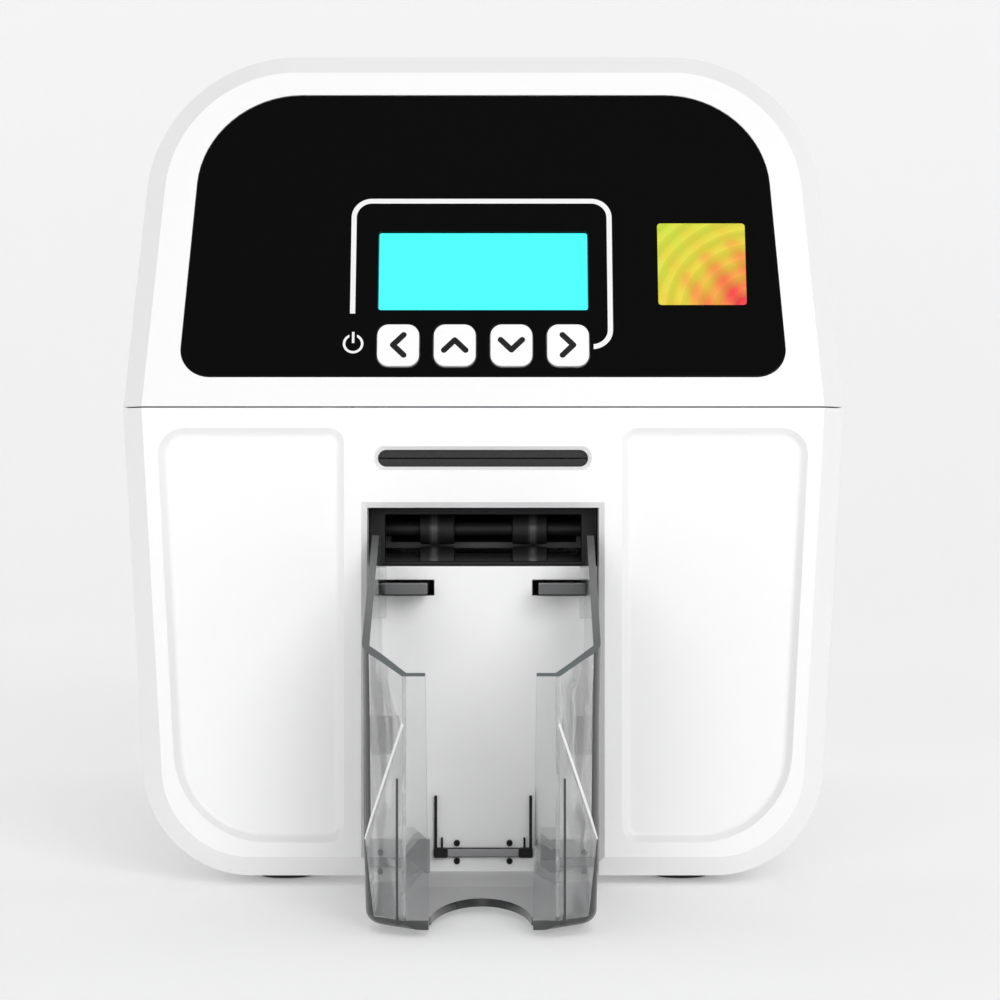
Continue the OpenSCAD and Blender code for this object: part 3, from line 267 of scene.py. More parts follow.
def start_piece(name):
    """Names the new primitive and puts its place into its mesh."""
    piece = bpy.context.object
    piece.name = piece.data.name = name
    bpy.ops.object.transform_apply(location=True, rotation=True, scale=True)
    return piece


def block(name, x, d, z):
    """A box, given by its two ends along each axis."""
    alone(None)
    middle = place((x[0] + x[1]) / 2, (d[0] + d[1]) / 2, (z[0] + z[1]) / 2)
    bpy.ops.mesh.primitive_cube_add(size=1, location=middle, scale=mm(x[1] - x[0], d[1] - d[0], z[1] - z[0]))
    return start_piece(name)


def smooth(piece, angle=40):
    """Smooth shading, except over sharp edges."""
    alone(piece)
    bpy.ops.object.shade_smooth_by_angle(angle=math.radians(angle))


def change(piece, kind, **settings):
    """Adds a modifier to a piece and applies it."""
    alone(piece)
    modifier = piece.modifiers.new(kind.lower(), kind)
    for name, value in settings.items():
        setattr(modifier, name, value)
    bpy.ops.object.modifier_apply(modifier=modifier.name)


paper = new_material("pale_paper", (0.9, 0.9, 0.9), 0.8, Emission_Strength=0.15)
paper[1].inputs["Emission Color"].default_value = (1, 1, 1, 1)
floor_rear = 2600
floor_curve = 900
wall_high = 4000
floor = block("floor", (-3500, 3500), (-3400, floor_rear), (-20, 0))
pick(floor, "FACE", lambda at, way: way.y > 0.5)
bpy.ops.mesh.extrude_region_move(TRANSFORM_OT_translate={"value": mm(0, 20, 0)})
pick(floor, "FACE", lambda at, way: way.z > 0.5 and at.y > floor_rear)
bpy.ops.mesh.extrude_region_move(TRANSFORM_OT_translate={"value": mm(0, 0, wall_high)})
pick(floor, "EDGE", lambda at, way: abs(at.z) < 1 and abs(at.y - floor_rear) < 1 and abs(way.x) > 1000)
bevel(floor_curve, 24)
smooth(floor)
floor.data.materials.append(grain(paper, 0.01, 3, 0.8, 0.05, 300, 0.05))

# Lower case: one white injection-moulded shell, open at the top, with two sunk side panels, the feed slot and
# the bay in its front, and windows for the sockets and the fan in its rear. Everything else is built into it.
depth = 365
wall = 2.8
front_wall = 4.6
rim = 6
inner_rim = 4.6
low_corner = 29.3
low_corner_inside = 26.6
parting = 137.2
seam = 0.4
underside = 3
half_width = 103.3
low_half = 95.8
bay_half = 33.1
bay_top = 108.5
bay_depth = 12
hinge_d = 355
barrel_r = 10
ear_x = 67
ear_width = 9
pin_r = 2


def rod(name, start, end, radius, sides=48):
    """A round bar from one point to another along one axis."""
    alone(None)
    spans = [b - a for a, b in zip(start, end)]
    axis = max(range(3), key=lambda i: abs(spans[i]))
    turns = ((0, math.radians(90), 0), (math.radians(90), 0, 0), (0, 0, 0))
    bpy.ops.mesh.primitive_cylinder_add(
        vertices=sides,
        radius=mm(radius),
        depth=mm(abs(spans[axis])),
        location=place(*[(a + b) / 2 for a, b in zip(start, end)]),
        rotation=turns[axis],
    )
    return start_piece(name)


def joined(name, pieces):
    """Makes one piece of several."""
    alone(pieces[0])
    for piece in pieces:
        piece.select_set(True)
    bpy.ops.object.join()
    pieces[0].name = pieces[0].data.name = name
    return pieces[0]


def carve(piece, tools, operation="DIFFERENCE"):
    """Cuts tools out of a piece, or adds them to it."""
    for tool in tools:
        change(piece, "BOOLEAN", object=tool, operation=operation, solver="EXACT")
        bpy.data.objects.remove(tool)


def tapered_case(name, z, half, front, rear, round_end, corner, rim_size):
    """A tapering block with two long round edges, and sloping rims at its front and rear.

    Each pair of values is for its lower and its upper end."""
    piece = block(name, (-half[0], half[0]), (front[0], rear[0]), z)
    pick(piece, "VERT", lambda at, way: at.z > z[1] - 0.01)
    squeeze(half[1] / half[0], place(0, 0, z[1]))
    middle = (front[0] + rear[0]) / 2
    for side, move in ((-1, front[1] - front[0]), (1, rear[1] - rear[0])):
        pick(piece, "VERT", lambda at, way: at.z > z[1] - 0.01 and (at.y - middle) * side > 0)
        bpy.ops.transform.translate(value=mm(0, move, 0))
    pick(piece, "EDGE", lambda at, way: abs(at.z - z[round_end]) < 0.01 and abs(way.y) > 50)
    bevel(corner, 20)

    def on_rim(at, way):
        share = (at.z - z[0]) / (z[1] - z[0])
        ends = (front[0] + share * (front[1] - front[0]), rear[0] + share * (rear[1] - rear[0]))
        return min(abs(at.y - end) for end in ends) < 0.05 and abs(at.z - z[1 - round_end]) > 0.01

    pick(piece, "EDGE", on_rim)
    bevel(rim_size)
    alone(piece)
    return piece


def round_block(name, x, d, z, along, corner, segments=6):
    """A box whose four edges along one axis are rounded."""
    piece = block(name, x, d, z)
    axis = "xyz".index(along)
    pick(piece, "EDGE", lambda at, way: way.length - abs(way[axis]) < 0.01)
    bevel(corner, segments)
    alone(piece)
    return piece


def on_side(side, near, far):
    """A span of x from near to far, on the left for -1 and on the right for 1."""
    return tuple(sorted((side * near, side * far)))


def widened(piece, d, grow):
    """Widens the end of a cutter at one depth by so much all round, so that it leaves a sloping edge."""
    pick(piece, "VERT", lambda at, way: abs(at.y - d) < 0.01)
    corners = [corner.co.copy() for corner in bmesh.from_edit_mesh(piece.data).verts if corner.select]
    lows = [min(corner[i] for corner in corners) for i in range(3)]
    highs = [max(corner[i] for corner in corners) for i in range(3)]
    shares = [1 + mm(2 * grow) / max(high - low, 0.0001) for low, high in zip(lows, highs)]
    middle = tuple((low + high) / 2 for low, high in zip(lows, highs))
    bpy.ops.transform.resize(value=(shares[0], 1, shares[2]), center_override=middle)
    alone(piece)
    return piece


def soften(piece, width, segments=2, sharp=32):
    """Rounds the edges of a finished shape a little, and shades it smooth."""
    alone(piece)
    bpy.ops.object.mode_set(mode="EDIT")
    bpy.ops.mesh.select_all(action="SELECT")
    bpy.ops.mesh.remove_doubles(threshold=mm(0.004))
    bpy.ops.mesh.dissolve_limited(angle_limit=math.radians(0.5))
    alone(piece)
    limits = {"limit_method": "ANGLE", "angle_limit": math.radians(sharp)}
    change(piece, "BEVEL", width=mm(width), segments=segments, use_clamp_overlap=True, **limits)
    smooth(piece)
    change(piece, "WEIGHTED_NORMAL", keep_sharp=True)


bodies = {node: body for body, nodes in frame["record"]["behaviour"]["bodies"].items() for node in nodes}
slots = {subpart["node"]: subpart["material_slot"] for subpart in frame["record"]["subparts"]}


def add_on(piece, node, material, *others, slot_name=None):
    """Hands over a piece that moves with a node. Each other material comes with a test of its faces."""
    piece.data.materials.clear()
    piece.data.materials.append(material)
    for index, (other, test) in enumerate(others, 1):
        piece.data.materials.append(other)
        pick(piece, "FACE", test)
        piece.active_material_index = index
        bpy.ops.object.material_slot_assign()
    alone(piece)
    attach(piece, bodies[node])
    slot_name or slots[node]


def hand_over(piece, node, material, *others):
    """Hands over a piece that takes the place of a node."""
    add_on(piece, node, material, *others)
    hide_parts(node)


def dressed(node, material, *others, edge=0.15, segments=2):
    """Hands over a copy of a solid whose edges are rounded a little."""
    piece = bpy.data.objects.new(node + "_dressed", frame["nodes"][node].data.copy())
    bpy.context.scene.collection.objects.link(piece)
    soften(piece, edge, segments)
    hand_over(piece, node, material, *others)
    return piece


# White moulded plastic has a very fine spark-eroded grain, and its sheen varies a little.
white_plastic = grain(new_material("white_plastic", (0.86, 0.86, 0.86), 0.4), 0.02, 5, 0.4, 0.12, 1900, 0.02)

case_z = (underside, parting - seam / 2)
case_half = (low_half, half_width)
lower_case = tapered_case(
    "lower_case", case_z, case_half, (0, 0), (depth, depth), 0, low_corner, rim
)
hollow = tapered_case(
    "hollow",
    (underside + wall, parting + 8),
    (low_half - wall, half_width - wall + 0.4),
    (front_wall, front_wall),
    (depth - wall, depth - wall),
    0,
    low_corner_inside,
    inner_rim,
)
carve(lower_case, [hollow])
lining_x = (-bay_half - wall, bay_half + wall)
lining = block("lining", lining_x, (-1, bay_depth + 4), (underside, bay_top + wall))
outline = tapered_case("outline", case_z, case_half, (0, 0), (depth, depth), 0, low_corner, rim)
carve(lining, [outline], "INTERSECT")
carve(lower_case, [lining], "UNION")
space = [
    rod("space", (-120, hinge_d, parting), (120, hinge_d, parting), barrel_r + seam),
    block("space", (-120, 120), (hinge_d, depth + 1), (parting - barrel_r - seam, parting + 20)),
]
carve(lower_case, space)
ears = []
for side in (-1, 1):
    ear = (side * ear_x - ear_width / 2, side * ear_x + ear_width / 2)
    lug = block("lug", (ear[0] - 2, ear[1] + 2), (hinge_d - 4.5, depth - 1), (parting - 30, parting))
    behind_z = (parting - barrel_r - 2.6, parting + 1)
    carve(lug, [block("behind", (ear[0] - 3, ear[1] + 3), (hinge_d + 4.5, depth), behind_z)])
    eye = rod("eye", (ear[0] - 1, hinge_d, parting), (ear[1] + 1, hinge_d, parting), barrel_r - 2)
    carve(lug, [eye], "UNION")
    slab = block("slab", ear, (hinge_d - 20, depth + 5), (parting - 40, parting + 20))
    carve(lug, [slab], "INTERSECT")
    ears.append(lug)
carve(lower_case, ears, "UNION")
carve(lower_case, [rod("bore", (-77, hinge_d, parting), (77, hinge_d, parting), pin_r + 0.05, 24)])

# The bay and the feed slot have small sloping edges.
slot_half = 30
slot_height = 4.8
slot_middle = 122.6
slot_z = (slot_middle - slot_height / 2, slot_middle + slot_height / 2)
slot_round = slot_height / 2 - 0.02
bay_edge_d = (-1, 1.6)
bay_edge_width = 2.6
slot_edge_d = (-0.6, 1.2)
slot_edge_width = 1.5
bay = block("bay", (-bay_half, bay_half), (-1, bay_depth + 5), (-1, bay_top))
bay_edge = block("bay_edge", (-bay_half, bay_half), bay_edge_d, (-20, bay_top))
bay_edge = widened(bay_edge, bay_edge_d[0], bay_edge_width)
slot = round_block("slot", (-slot_half, slot_half), (-1, front_wall + 2), slot_z, "y", slot_round)
slot_edge = round_block("slot_edge", (-slot_half, slot_half), slot_edge_d, slot_z, "y", slot_round)
slot_edge = widened(slot_edge, slot_edge_d[0], slot_edge_width)
carve(lower_case, [bay, bay_edge, slot, slot_edge])

# The two sunk side panels follow the outline of the case.
panel_inner = 39.6
panel_outer = 93
panel_narrowing = 6.2
panel_slope = 2
panel_low = 13.2
panel_high = 131.2
panel_sink = 1.8
panel_soft = 0.8
skin = 0.05
for side in (-1, 1):
    sunk = block("sunk", (panel_inner, panel_outer), (-1, skin), (panel_low, panel_high))
    pick(sunk, "VERT", lambda at, way: at.z < panel_low + 0.01 and at.x > panel_inner + 0.01)
    bpy.ops.transform.translate(value=mm(-panel_narrowing, 0, 0))
    for corner_x, corner_z, corner_r in (
        (panel_inner, panel_low, 4.5),
        (panel_inner, panel_high, 4.5),
        (panel_outer, panel_high, 8),
        (panel_outer - panel_narrowing, panel_low, 25),
    ):
        pick(sunk, "EDGE", lambda at, way: abs(at.x - corner_x) + abs(at.z - corner_z) < 0.02)
        bevel(corner_r, 10)
    pick(sunk, "FACE", lambda at, way: way.y > 0.9)
    bpy.ops.mesh.inset(thickness=mm(panel_slope), depth=mm(panel_sink - skin))
    pick(sunk, "EDGE", lambda at, way: at.y > panel_sink - 0.01)
    bevel(panel_soft, 4)
    if side < 0:
        pick(sunk, "VERT", lambda at, way: True)
        bpy.ops.transform.mirror(constraint_axis=(True, False, False), center_override=(0, 0, 0))
        bpy.ops.mesh.normals_make_consistent(inside=False)
    carve(lower_case, [sunk])

# Window for the sockets, slots for the fan, and vents low on both sides.
window_x = (-6, 74)
window_z = (24, 60)
fan_x = -68
fan_z = 86
through_rear = (depth - 6, depth + 1)
fan_slots = 7
fan_slot_step = 5
fan_slot_width = 3
fan_slot_half = 15
vents = 10
vent_step = 7
vent_width = 3
vent_reach = (82.5, 105.3)
vent_z = (parting - 62, parting - 42)
openings = [round_block("window", window_x, through_rear, window_z, "y", 1.5, 4)]
for i in range(fan_slots):
    middle = fan_x + fan_slot_step * (i - fan_slots // 2)
    slot_x = (middle - fan_slot_width / 2, middle + fan_slot_width / 2)
    fan_slot_z = (fan_z - fan_slot_half, fan_z + fan_slot_half)
    openings.append(round_block("fan_slot", slot_x, through_rear, fan_slot_z, "y", 1.4, 4))
for side in (-1, 1):
    for i in range(vents):
        vent_d = (depth / 2 + vent_step * i, depth / 2 + vent_step * i + vent_width)
        vent_x = on_side(side, *vent_reach)
        openings.append(round_block("vent", vent_x, vent_d, vent_z, "x", 1.4, 4))
carve(lower_case, [joined("openings", openings)])

# Four posts carry the chassis, and four carry the power supply.
posts = []
for post_xs, post_ds, post_top, post_r in (((-25, 25), (37, 320), 9, 4.5), ((-50, -60), (223, 322), 14, 4)):
    for x in post_xs:
        for d in post_ds:
            posts.append(rod("post", (x, d, underside + 1), (x, d, post_top), post_r, 24))
carve(lower_case, [joined("posts", posts)], "UNION")
soften(lower_case, 0.35)
hand_over(lower_case, "base_shell", white_plastic)

# Dust lips: two strips of dark felt glued into the feed slot, above and below the card. A card pushes between
# them, and they keep dust off the card path.
felt = grain(new_material("dark_felt", (0.035, 0.035, 0.036), 0.9), 0.35, 900, 0.88, 0.1, 2600, 0.2)
lip_d = (2.2, 3.8)
lip_bite = 0.4
half_slit = 0.12
below_card = (slot_z[0] - lip_bite, slot_middle - half_slit)
above_card = (slot_middle + half_slit, slot_z[1] + lip_bite)
dust_lips = []
for lip_z in (below_card, above_card):
    dust_lips.append(round_block("dust_lip", (-slot_half, slot_half), lip_d, lip_z, "x", 0.35, 3))
dust_lips = joined("dust_lips", dust_lips)
soften(dust_lips, 0.08, 1)
add_on(dust_lips, "base_shell", felt, slot_name="rubber_dark")

# Feet: four round pads of black rubber with a soft edge, pressed into the underside of the lower case. They
# keep the printer from sliding.
rubber = grain(new_material("black_rubber", (0.022, 0.022, 0.024), 0.8), 0.3, 60, 0.78, 0.14, 700, 0.06)
dressed("feet", rubber, edge=0.6, segments=3)

# Chassis: one folded sheet of zinc-plated steel with pierced holes, held to the posts by four screws. Its two
# side plates carry the card path.
zinc = new_material("zinc_steel", (0.6, 0.62, 0.64), 0.36, Metallic=1)
shader, spot = zinc[1:]
flakes = spot.node("TexVoronoi", None, {"Vector": spot, "Scale": 260}, 0)
flakes.blend((0.55, 0.57, 0.6), (0.68, 0.7, 0.72)).into(shader, "Base Color")
(0.3 + 0.18 * spot.noise(35, 3)).into(shader, "Roughness")
spot.noise(900).relief(0.01).into(shader, "Normal")
zinc = zinc[0]
ground = new_material("ground_steel", (0.72, 0.72, 0.74), 0.2, Metallic=1)
shader, spot = ground[1:]
turned = spot.stretched(6000, 120, 120).noise(1, 2)
(0.16 + 0.16 * turned).into(shader, "Roughness")
turned.relief(0.004).into(shader, "Normal")
ground = ground[0]
dressed("chassis", zinc, edge=0.2)
dressed("chassis_screws", ground, edge=0.3)

# Bushes: rings of a pale slippery plastic, pressed into the side plates of the chassis, one for each end of
# each shaft.
pale_plastic = grain(new_material("pale_plastic", (0.72, 0.71, 0.66), 0.45), 0.06, 40, 0.45, 0.1, 1200, 0.02)
dressed("bushes", pale_plastic, edge=0.2)

# Card guides: dark moulded channels with a fine texture, and four raised runners in each stretch of floor, so
# that a card touches little of it. The chute leads down to the bay, and the gate turns a returning card
# into it.
dark_plastic = grain(new_material("dark_plastic", (0.03, 0.03, 0.032), 0.48), 0.25, 30, 0.5, 0.14, 1500, 0.03)
for node in ("upper_guide", "rear_guide", "exit_chute"):
    dressed(node, dark_plastic, edge=0.25)
runner_z = (121.4, 121.75)
runner_half = 0.6
runner_xs = (-16, -8, 8, 16)
for name, ends in (("front_runner", (8, 68)), ("middle_runner", (168, 214)), ("rear_runner", (236, 280))):
    runners = []
    for x in runner_xs:
        runners.append(round_block(name, (x - runner_half, x + runner_half), ends, runner_z, "y", 0.15, 2))
    runners = joined(name, runners)
    soften(runners, 0.08, 1)
    add_on(runners, "rear_guide", dark_plastic)
dressed("path_gate", dark_plastic, (ground, lambda at, way: abs(at.x) > 25.5), edge=0.15)

# Rollers: each is a ground steel shaft with a rubber sleeve, and a moulded pulley for the toothed belts on
# the left. The idle rollers above them press the card down.
sleeve_half = 25


def on_pulley(at, way):
    return at.x < -38.5 and abs(way.x) < 0.99 or at.x < -38.9


def on_sleeve(at, way):
    return abs(at.x) < sleeve_half + 0.1


for node in ("inlet_roller", "platen_roller", "feed_roller", "pick_roller", "eject_roller"):
    dressed(node, ground, (rubber, on_sleeve), (pale_plastic, on_pulley), edge=0.2)
for node in ("inlet_pinch", "eject_pinch", "feed_pinch"):
    dressed(node, ground, (rubber, on_sleeve), edge=0.2)

# The two rollers behind the card mouth are black all over, shafts too: painted shade of the dark mouth.
# A narrow band on each sleeve is polished and painted lighter: a painted highlight.
polished_glint_x = 14.4
polished_glint_half = 1.5
black_roller = new_material("black_roller", (0.008, 0.008, 0.008), 0.6, Specular_IOR_Level=0.4)
shader, spot = black_roller[1:]
polished_glint_band = (1 - (spot.part("x").size() * 1000 - polished_glint_x).size() / polished_glint_half).maths("MAXIMUM", 0)
# Painted highlight: the band is painted lighter; its lower roughness is real polish.
polished_glint_band.blend((0.006, 0.006, 0.006), (0.08, 0.08, 0.08)).into(shader, "Base Color")
(0.62 - 0.4 * polished_glint_band).into(shader, "Roughness")
spot.noise(900).relief(0.03).into(shader, "Normal")
dressed("exit_roller", black_roller[0], (pale_plastic, on_pulley), edge=0.2)
dressed("exit_pinch", black_roller[0], edge=0.2)

# Belts: black rubber loops with fine teeth, which are shown in the surface. They join the rollers to the feed
# motor.
belt_rubber = new_material("belt_rubber", (0.02, 0.02, 0.02), 0.62)
shader, spot = belt_rubber[1:]
along = spot.part("y") + spot.part("z")
along.wave(1.5).relief(0.2).into(shader, "Normal")
(0.5 + 0.2 * spot.noise(80)).into(shader, "Roughness")
for node in ("transport_belt", "motor_belt", "exit_belt"):
    dressed(node, belt_rubber[0], edge=0.1, segments=1)

# Motors: round steel cans with a blackened end plate. The feed motor turns the rollers by its own pulley, and
# the ribbon motor turns the used spool.
dressed("feed_motor", zinc, (dark_plastic, lambda at, way: way.x > 0.9 and at.x > -10), edge=0.6)
dressed("ribbon_motor", zinc, (dark_plastic, lambda at, way: abs(at.x) < 43), edge=0.5)
dressed("motor_pulley", ground, (pale_plastic, lambda at, way: at.x < -44), edge=0.2)

# Ribbon cassette: a white moulding that holds the supply spool, the used spool and the film between them,
# which carries yellow, magenta, cyan, black and clear panels in turn.
film = new_material("ribbon_film", (0.2, 0.2, 0.2), 0.12, Coat_Weight=0.3)
shader, spot = film[1:]
share = (spot.part("y") + spot.part("z") * 0.7) * 8
turn = share.maths("FRACT")
tone = (turn > 0.2).blend((0.75, 0.6, 0.02), (0.6, 0.02, 0.2))
tone = (turn > 0.4).blend(tone, (0.01, 0.25, 0.55))
tone = (turn > 0.6).blend(tone, (0.015, 0.015, 0.015))
tone = (turn > 0.85).blend(tone, (0.4, 0.4, 0.38))
tone.into(shader, "Base Color")
(0.08 + 0.12 * spot.noise(50)).into(shader, "Roughness")
spot.noise(120).relief(0.03).into(shader, "Normal")
film = film[0]
dressed("ribbon_cassette", pale_plastic, edge=0.3)
for node in ("supply_spool", "take_up_spool"):
    dressed(node, pale_plastic, (film, lambda at, way: abs(at.x) < 31 and abs(way.x) < 0.5), edge=0.2)
dressed("ribbon_film", film, edge=0.03, segments=1)

# Card magazine: a dark box open at the top and bottom, with three ribs that rest on the side plates. A steel
# weight with a moulded grip presses the cards onto the pick roller.
dressed("card_magazine", dark_plastic, edge=0.4)
dressed("card_weight", ground, (dark_plastic, lambda at, way: at.z > 128.6), edge=0.5)

# Main board: a green laminate that stands upright on brass standoffs beside the chassis, with black chips,
# pale plugs and dark cans.
board_green = new_material("board_green", (0.012, 0.11, 0.045), 0.3, Coat_Weight=0.4)
shader, spot = board_green[1:]
cells = spot.node("TexVoronoi", {"distance": "MANHATTAN"}, {"Vector": spot, "Scale": 260}, 0)
tracks = (spot.part("z") + 0.002 * spot.noise(40)).wave(1.6)
copper = (tracks > 0.7) * (spot.noise(60) > 0.48)
copper.blend((0.01, 0.1, 0.04), (0.03, 0.22, 0.09)).into(shader, "Base Color")
tracks.relief(0.03).into(shader, "Normal")
(0.2 + 0.2 * cells).into(shader, "Roughness")
brass = grain(new_material("brass", (0.78, 0.56, 0.24), 0.3, Metallic=1), 0.1, 90, 0.3, 0.14, 900, 0.01)
dressed("standoffs", brass, edge=0.3)
board_face = 53.6
dressed(
    "main_board",
    board_green[0],
    (dark_plastic, lambda at, way: at.x > board_face + 0.2),
    (pale_plastic, lambda at, way: at.x > board_face + 0.2 and (at.z > 95 or at.y < 80)),
    (zinc, lambda at, way: way.x > 0.9 and at.x > board_face + 13),
    edge=0.2,
)

# Power supply: a perforated cage of zinc-plated sheet, on four posts of the lower case, to the left of the
# chassis.
dressed("power_supply", zinc, edge=0.3)

# Rear panel: a zinc-plated plate behind the window. It holds the mains inlet with its three pins, the rocker
# switch and the two data sockets.
dressed("rear_panel", zinc, edge=0.2)
plate_d = 361.9
screw_r = 1.7
cross_half = 1.1
cross_line = 0.22
plate_screws = []
for x, z in ((-2.5, 27.5), (-2.5, 56.5), (70.8, 27), (70.8, 57)):
    screw = rod("plate_screw", (x, plate_d - 0.2, z), (x, plate_d + 1.3, z), screw_r, 28)
    cross_d = (plate_d + 0.6, plate_d + 2)
    recesses = []
    for across, up in ((cross_half, cross_line), (cross_line, cross_half)):
        recesses.append(block("recess", (x - across, x + across), cross_d, (z - up, z + up)))
    carve(screw, recesses)
    plate_screws.append(screw)
plate_screws = joined("plate_screws", plate_screws)
soften(plate_screws, 0.2)
add_on(plate_screws, "rear_panel", ground)
dressed("power_inlet", dark_plastic, (ground, lambda at, way: at.y < 360 and abs(at.z - 42) < 6.5), edge=0.3)
dressed("power_switch", dark_plastic, edge=0.5)
for node in ("network_socket", "data_socket"):
    dressed(node, zinc, (dark_plastic, lambda at, way: at.y < 359.5 and abs(at.z - 42) < 5), edge=0.2)

# Fan: a square black frame with four arms, and seven twisted blades on a hub, all moulded. It sits behind the
# slots in the rear.
dressed("fan_frame", dark_plastic, edge=0.3)
dressed("fan_rotor", dark_plastic, edge=0.2)

# Bay: a white back panel with notches for the hopper's hooks, under the black frame of the card mouth. At the
# bottom a bar between two clips, two thin posts and four black screws hold the rear edge of the hopper.
mouth_black = new_material("mouth_black", (0.007, 0.007, 0.0073), 0.5, Specular_IOR_Level=0.25)
mouth_black = grain(mouth_black, 0.2, 40, 0.55, 0.1, 1500, 0.03)
bay_d = 12
# Painted light: the bay panel is a brighter copy of the white plastic, against the shade the hopper casts
# into the bay.
bay_white = grain(new_material("bay_white", (0.95, 0.95, 0.95), 0.45), 0.02, 5, 0.45, 0.12, 1900, 0.02)
dressed("bay_panel", bay_white, edge=0.3)
dressed("exit_bezel", mouth_black, edge=0.3)
clip_z = (7.6, 10.3)
clip_screw_x = 7.6
clip_screw_zs = (6.4, 11.6)
bar = round_block("clip_bar", (-11, 11), (bay_d - 2, bay_d), clip_z, "x", 0.5, 2)
clip_parts = [bar]
for side in (-1, 1):
    clip = on_side(side, 10.2, 14.3)
    post = on_side(side, 13.3, 14.1)
    thin = on_side(side, 11.6, 12.2)
    clip_parts.append(round_block("clip", clip, (bay_d - 3.1, bay_d), clip_z, "y", 0.5, 2))
    clip_parts.append(round_block("post", post, (bay_d - 2, bay_d), (clip_z[1] - 0.5, 25.3), "z", 0.2, 2))
    clip_parts.append(round_block("fin", thin, (bay_d - 1.5, bay_d), (clip_z[1] - 0.5, 13.2), "z", 0.2, 2))
    x = side * clip_screw_x
    for z in clip_screw_zs:
        head = rod("screw", (x, bay_d - 1, z), (x, bay_d, z), 0.9, 20)
        recess_x = (x - 0.15, x + 0.15)
        carve(head, [block("recess", recess_x, (bay_d - 2, bay_d - 0.7), (z - 0.6, z + 0.6))])
        clip_parts.append(head)
clip_bar = joined("clip_bar", clip_parts)
soften(clip_bar, 0.08, 1)
grey_plastic = grain(new_material("grey_plastic", (0.3, 0.3, 0.31), 0.4), 0.1, 60, 0.4, 0.1, 1500, 0.02)
hand_over(
    clip_bar,
    "hopper_clip",
    mouth_black,
    (grey_plastic, lambda at, way: abs(at.x) < 10.1 and way.y < -0.9 and 7.9 < at.z < 10),
)

# Hinge pins: two ground steel pins, each through one ear of the lower case and into the barrel. The upper
# case turns on them.
dressed("hinge_pins", ground, edge=0.3)

# Upper case: one moulding, open at the bottom, whose front leans back. It carries the control panel in a
# shallow pocket. The hinge barrel runs across its rear edge, and two tabs drop behind the lower case's front.
lid_height = 105.8
top_z = parting + lid_height
lean = math.radians(18)
lid_top_half = 96.3
panel_top_half = 81.9
panel_low_half = 87.2
panel_v = (9.2, 97.8)
panel_corners = (9, 28.3)
panel_thick = 2.3
high_corner = 40.4
board_x = 70
board_vs = (16, 56)
board_y = 8.2
board_thick = 1.6
ear_gap = 0.5
lid_z = (parting + seam / 2, top_z)
lid_front_top = lid_height * math.tan(lean)


def lean_back(piece):
    """Turns a piece that was built upright in front of the parting line back onto the sloping front."""
    alone(piece)
    foot = Vector(place(0, 0, parting))
    piece.rotation_euler.x = -lean
    piece.location = foot - piece.rotation_euler.to_matrix() @ foot
    bpy.ops.object.transform_apply(location=True, rotation=True, scale=True)
    return piece


def slope_block(name, x, v, y, corner=0, segments=6):
    """A block on the sloping front: x across, v up the slope and y into the case."""
    z = (parting + v[0], parting + v[1])
    return lean_back(round_block(name, x, y, z, "y", corner, segments) if corner else block(name, x, y, z))


def panel_shape(name, more, y):
    """The outline of the control panel, so much larger all round and from one depth to another."""
    low, high = panel_v[0] - more, panel_v[1] + more
    piece = block(name, (-panel_low_half - more, panel_low_half + more), y, (parting + low, parting + high))
    pick(piece, "VERT", lambda at, way: at.z > parting + high - 0.01)
    squeeze((panel_top_half + more) / (panel_low_half + more), place(0, 0, parting))
    for v, corner in zip((low, high), panel_corners):
        pick(piece, "EDGE", lambda at, way: abs(at.z - parting - v) < 0.01 and abs(way.y) > 1)
        bevel(corner + more, 16)
    return lean_back(piece)


upper_case = tapered_case(
    "upper_case", lid_z, (half_width, lid_top_half), (0.1, lid_front_top), (depth, depth), 1, high_corner, rim
)


def lid_room(name, inset):
    """The room inside the upper case, so much smaller all round."""
    slope = (front_wall + inset) / math.cos(lean)
    side = wall + inset
    low = parting - 10
    return tapered_case(
        name,
        (low, top_z - side),
        (half_width + 0.66 - side, lid_top_half + 0.2 - side),
        (slope + (low - parting) * math.tan(lean), slope + (lid_height - side) * math.tan(lean)),
        (depth - side, depth - side),
        1,
        high_corner - side,
        inner_rim,
    )


carve(upper_case, [lid_room("lid_room", 0)])
barrel = rod("barrel", (-110, hinge_d, parting), (110, hinge_d, parting), barrel_r, 64)
barrel_end = (102.2, half_width)
ends = tapered_case("ends", (parting - 20, parting + 11), barrel_end, (280, 280), (depth, depth), 0, 4, rim)
carve(barrel, [ends], "INTERSECT")
carve(upper_case, [barrel], "UNION")
additions = []
for side in (-1, 1):
    tab = on_side(side, 42.4, 46.4)
    additions.append(block("tab", tab, (front_wall + 0.6, front_wall + 3), (parting - 8, parting + 4)))
    for v in board_vs:
        start, end = ((side * board_x, y, parting + v) for y in (front_wall - 0.5, board_y))
        additions.append(lean_back(rod("post", start, end, 3, 24)))
carve(upper_case, [joined("additions", additions)], "UNION")
rooms = [
    panel_shape("pocket", 0.15, (-8, panel_thick)),
    slope_block("panel_window", (-66, 66), (11, 63.2), (0, front_wall + 1), 3),
    rod("lid_bore", (-81.3, hinge_d, parting), (81.3, hinge_d, parting), pin_r + 0.05, 24),
]
for side in (-1, 1):
    ends = [side * ear_x + half * (ear_width / 2 + ear_gap) for half in (-1, 1)]
    rooms.append(rod("ear_room", (ends[0], hinge_d, parting), (ends[1], hinge_d, parting), barrel_r + 0.3))
carve(upper_case, rooms)
soften(upper_case, 0.35)
hand_over(upper_case, "lid_shell", white_plastic)

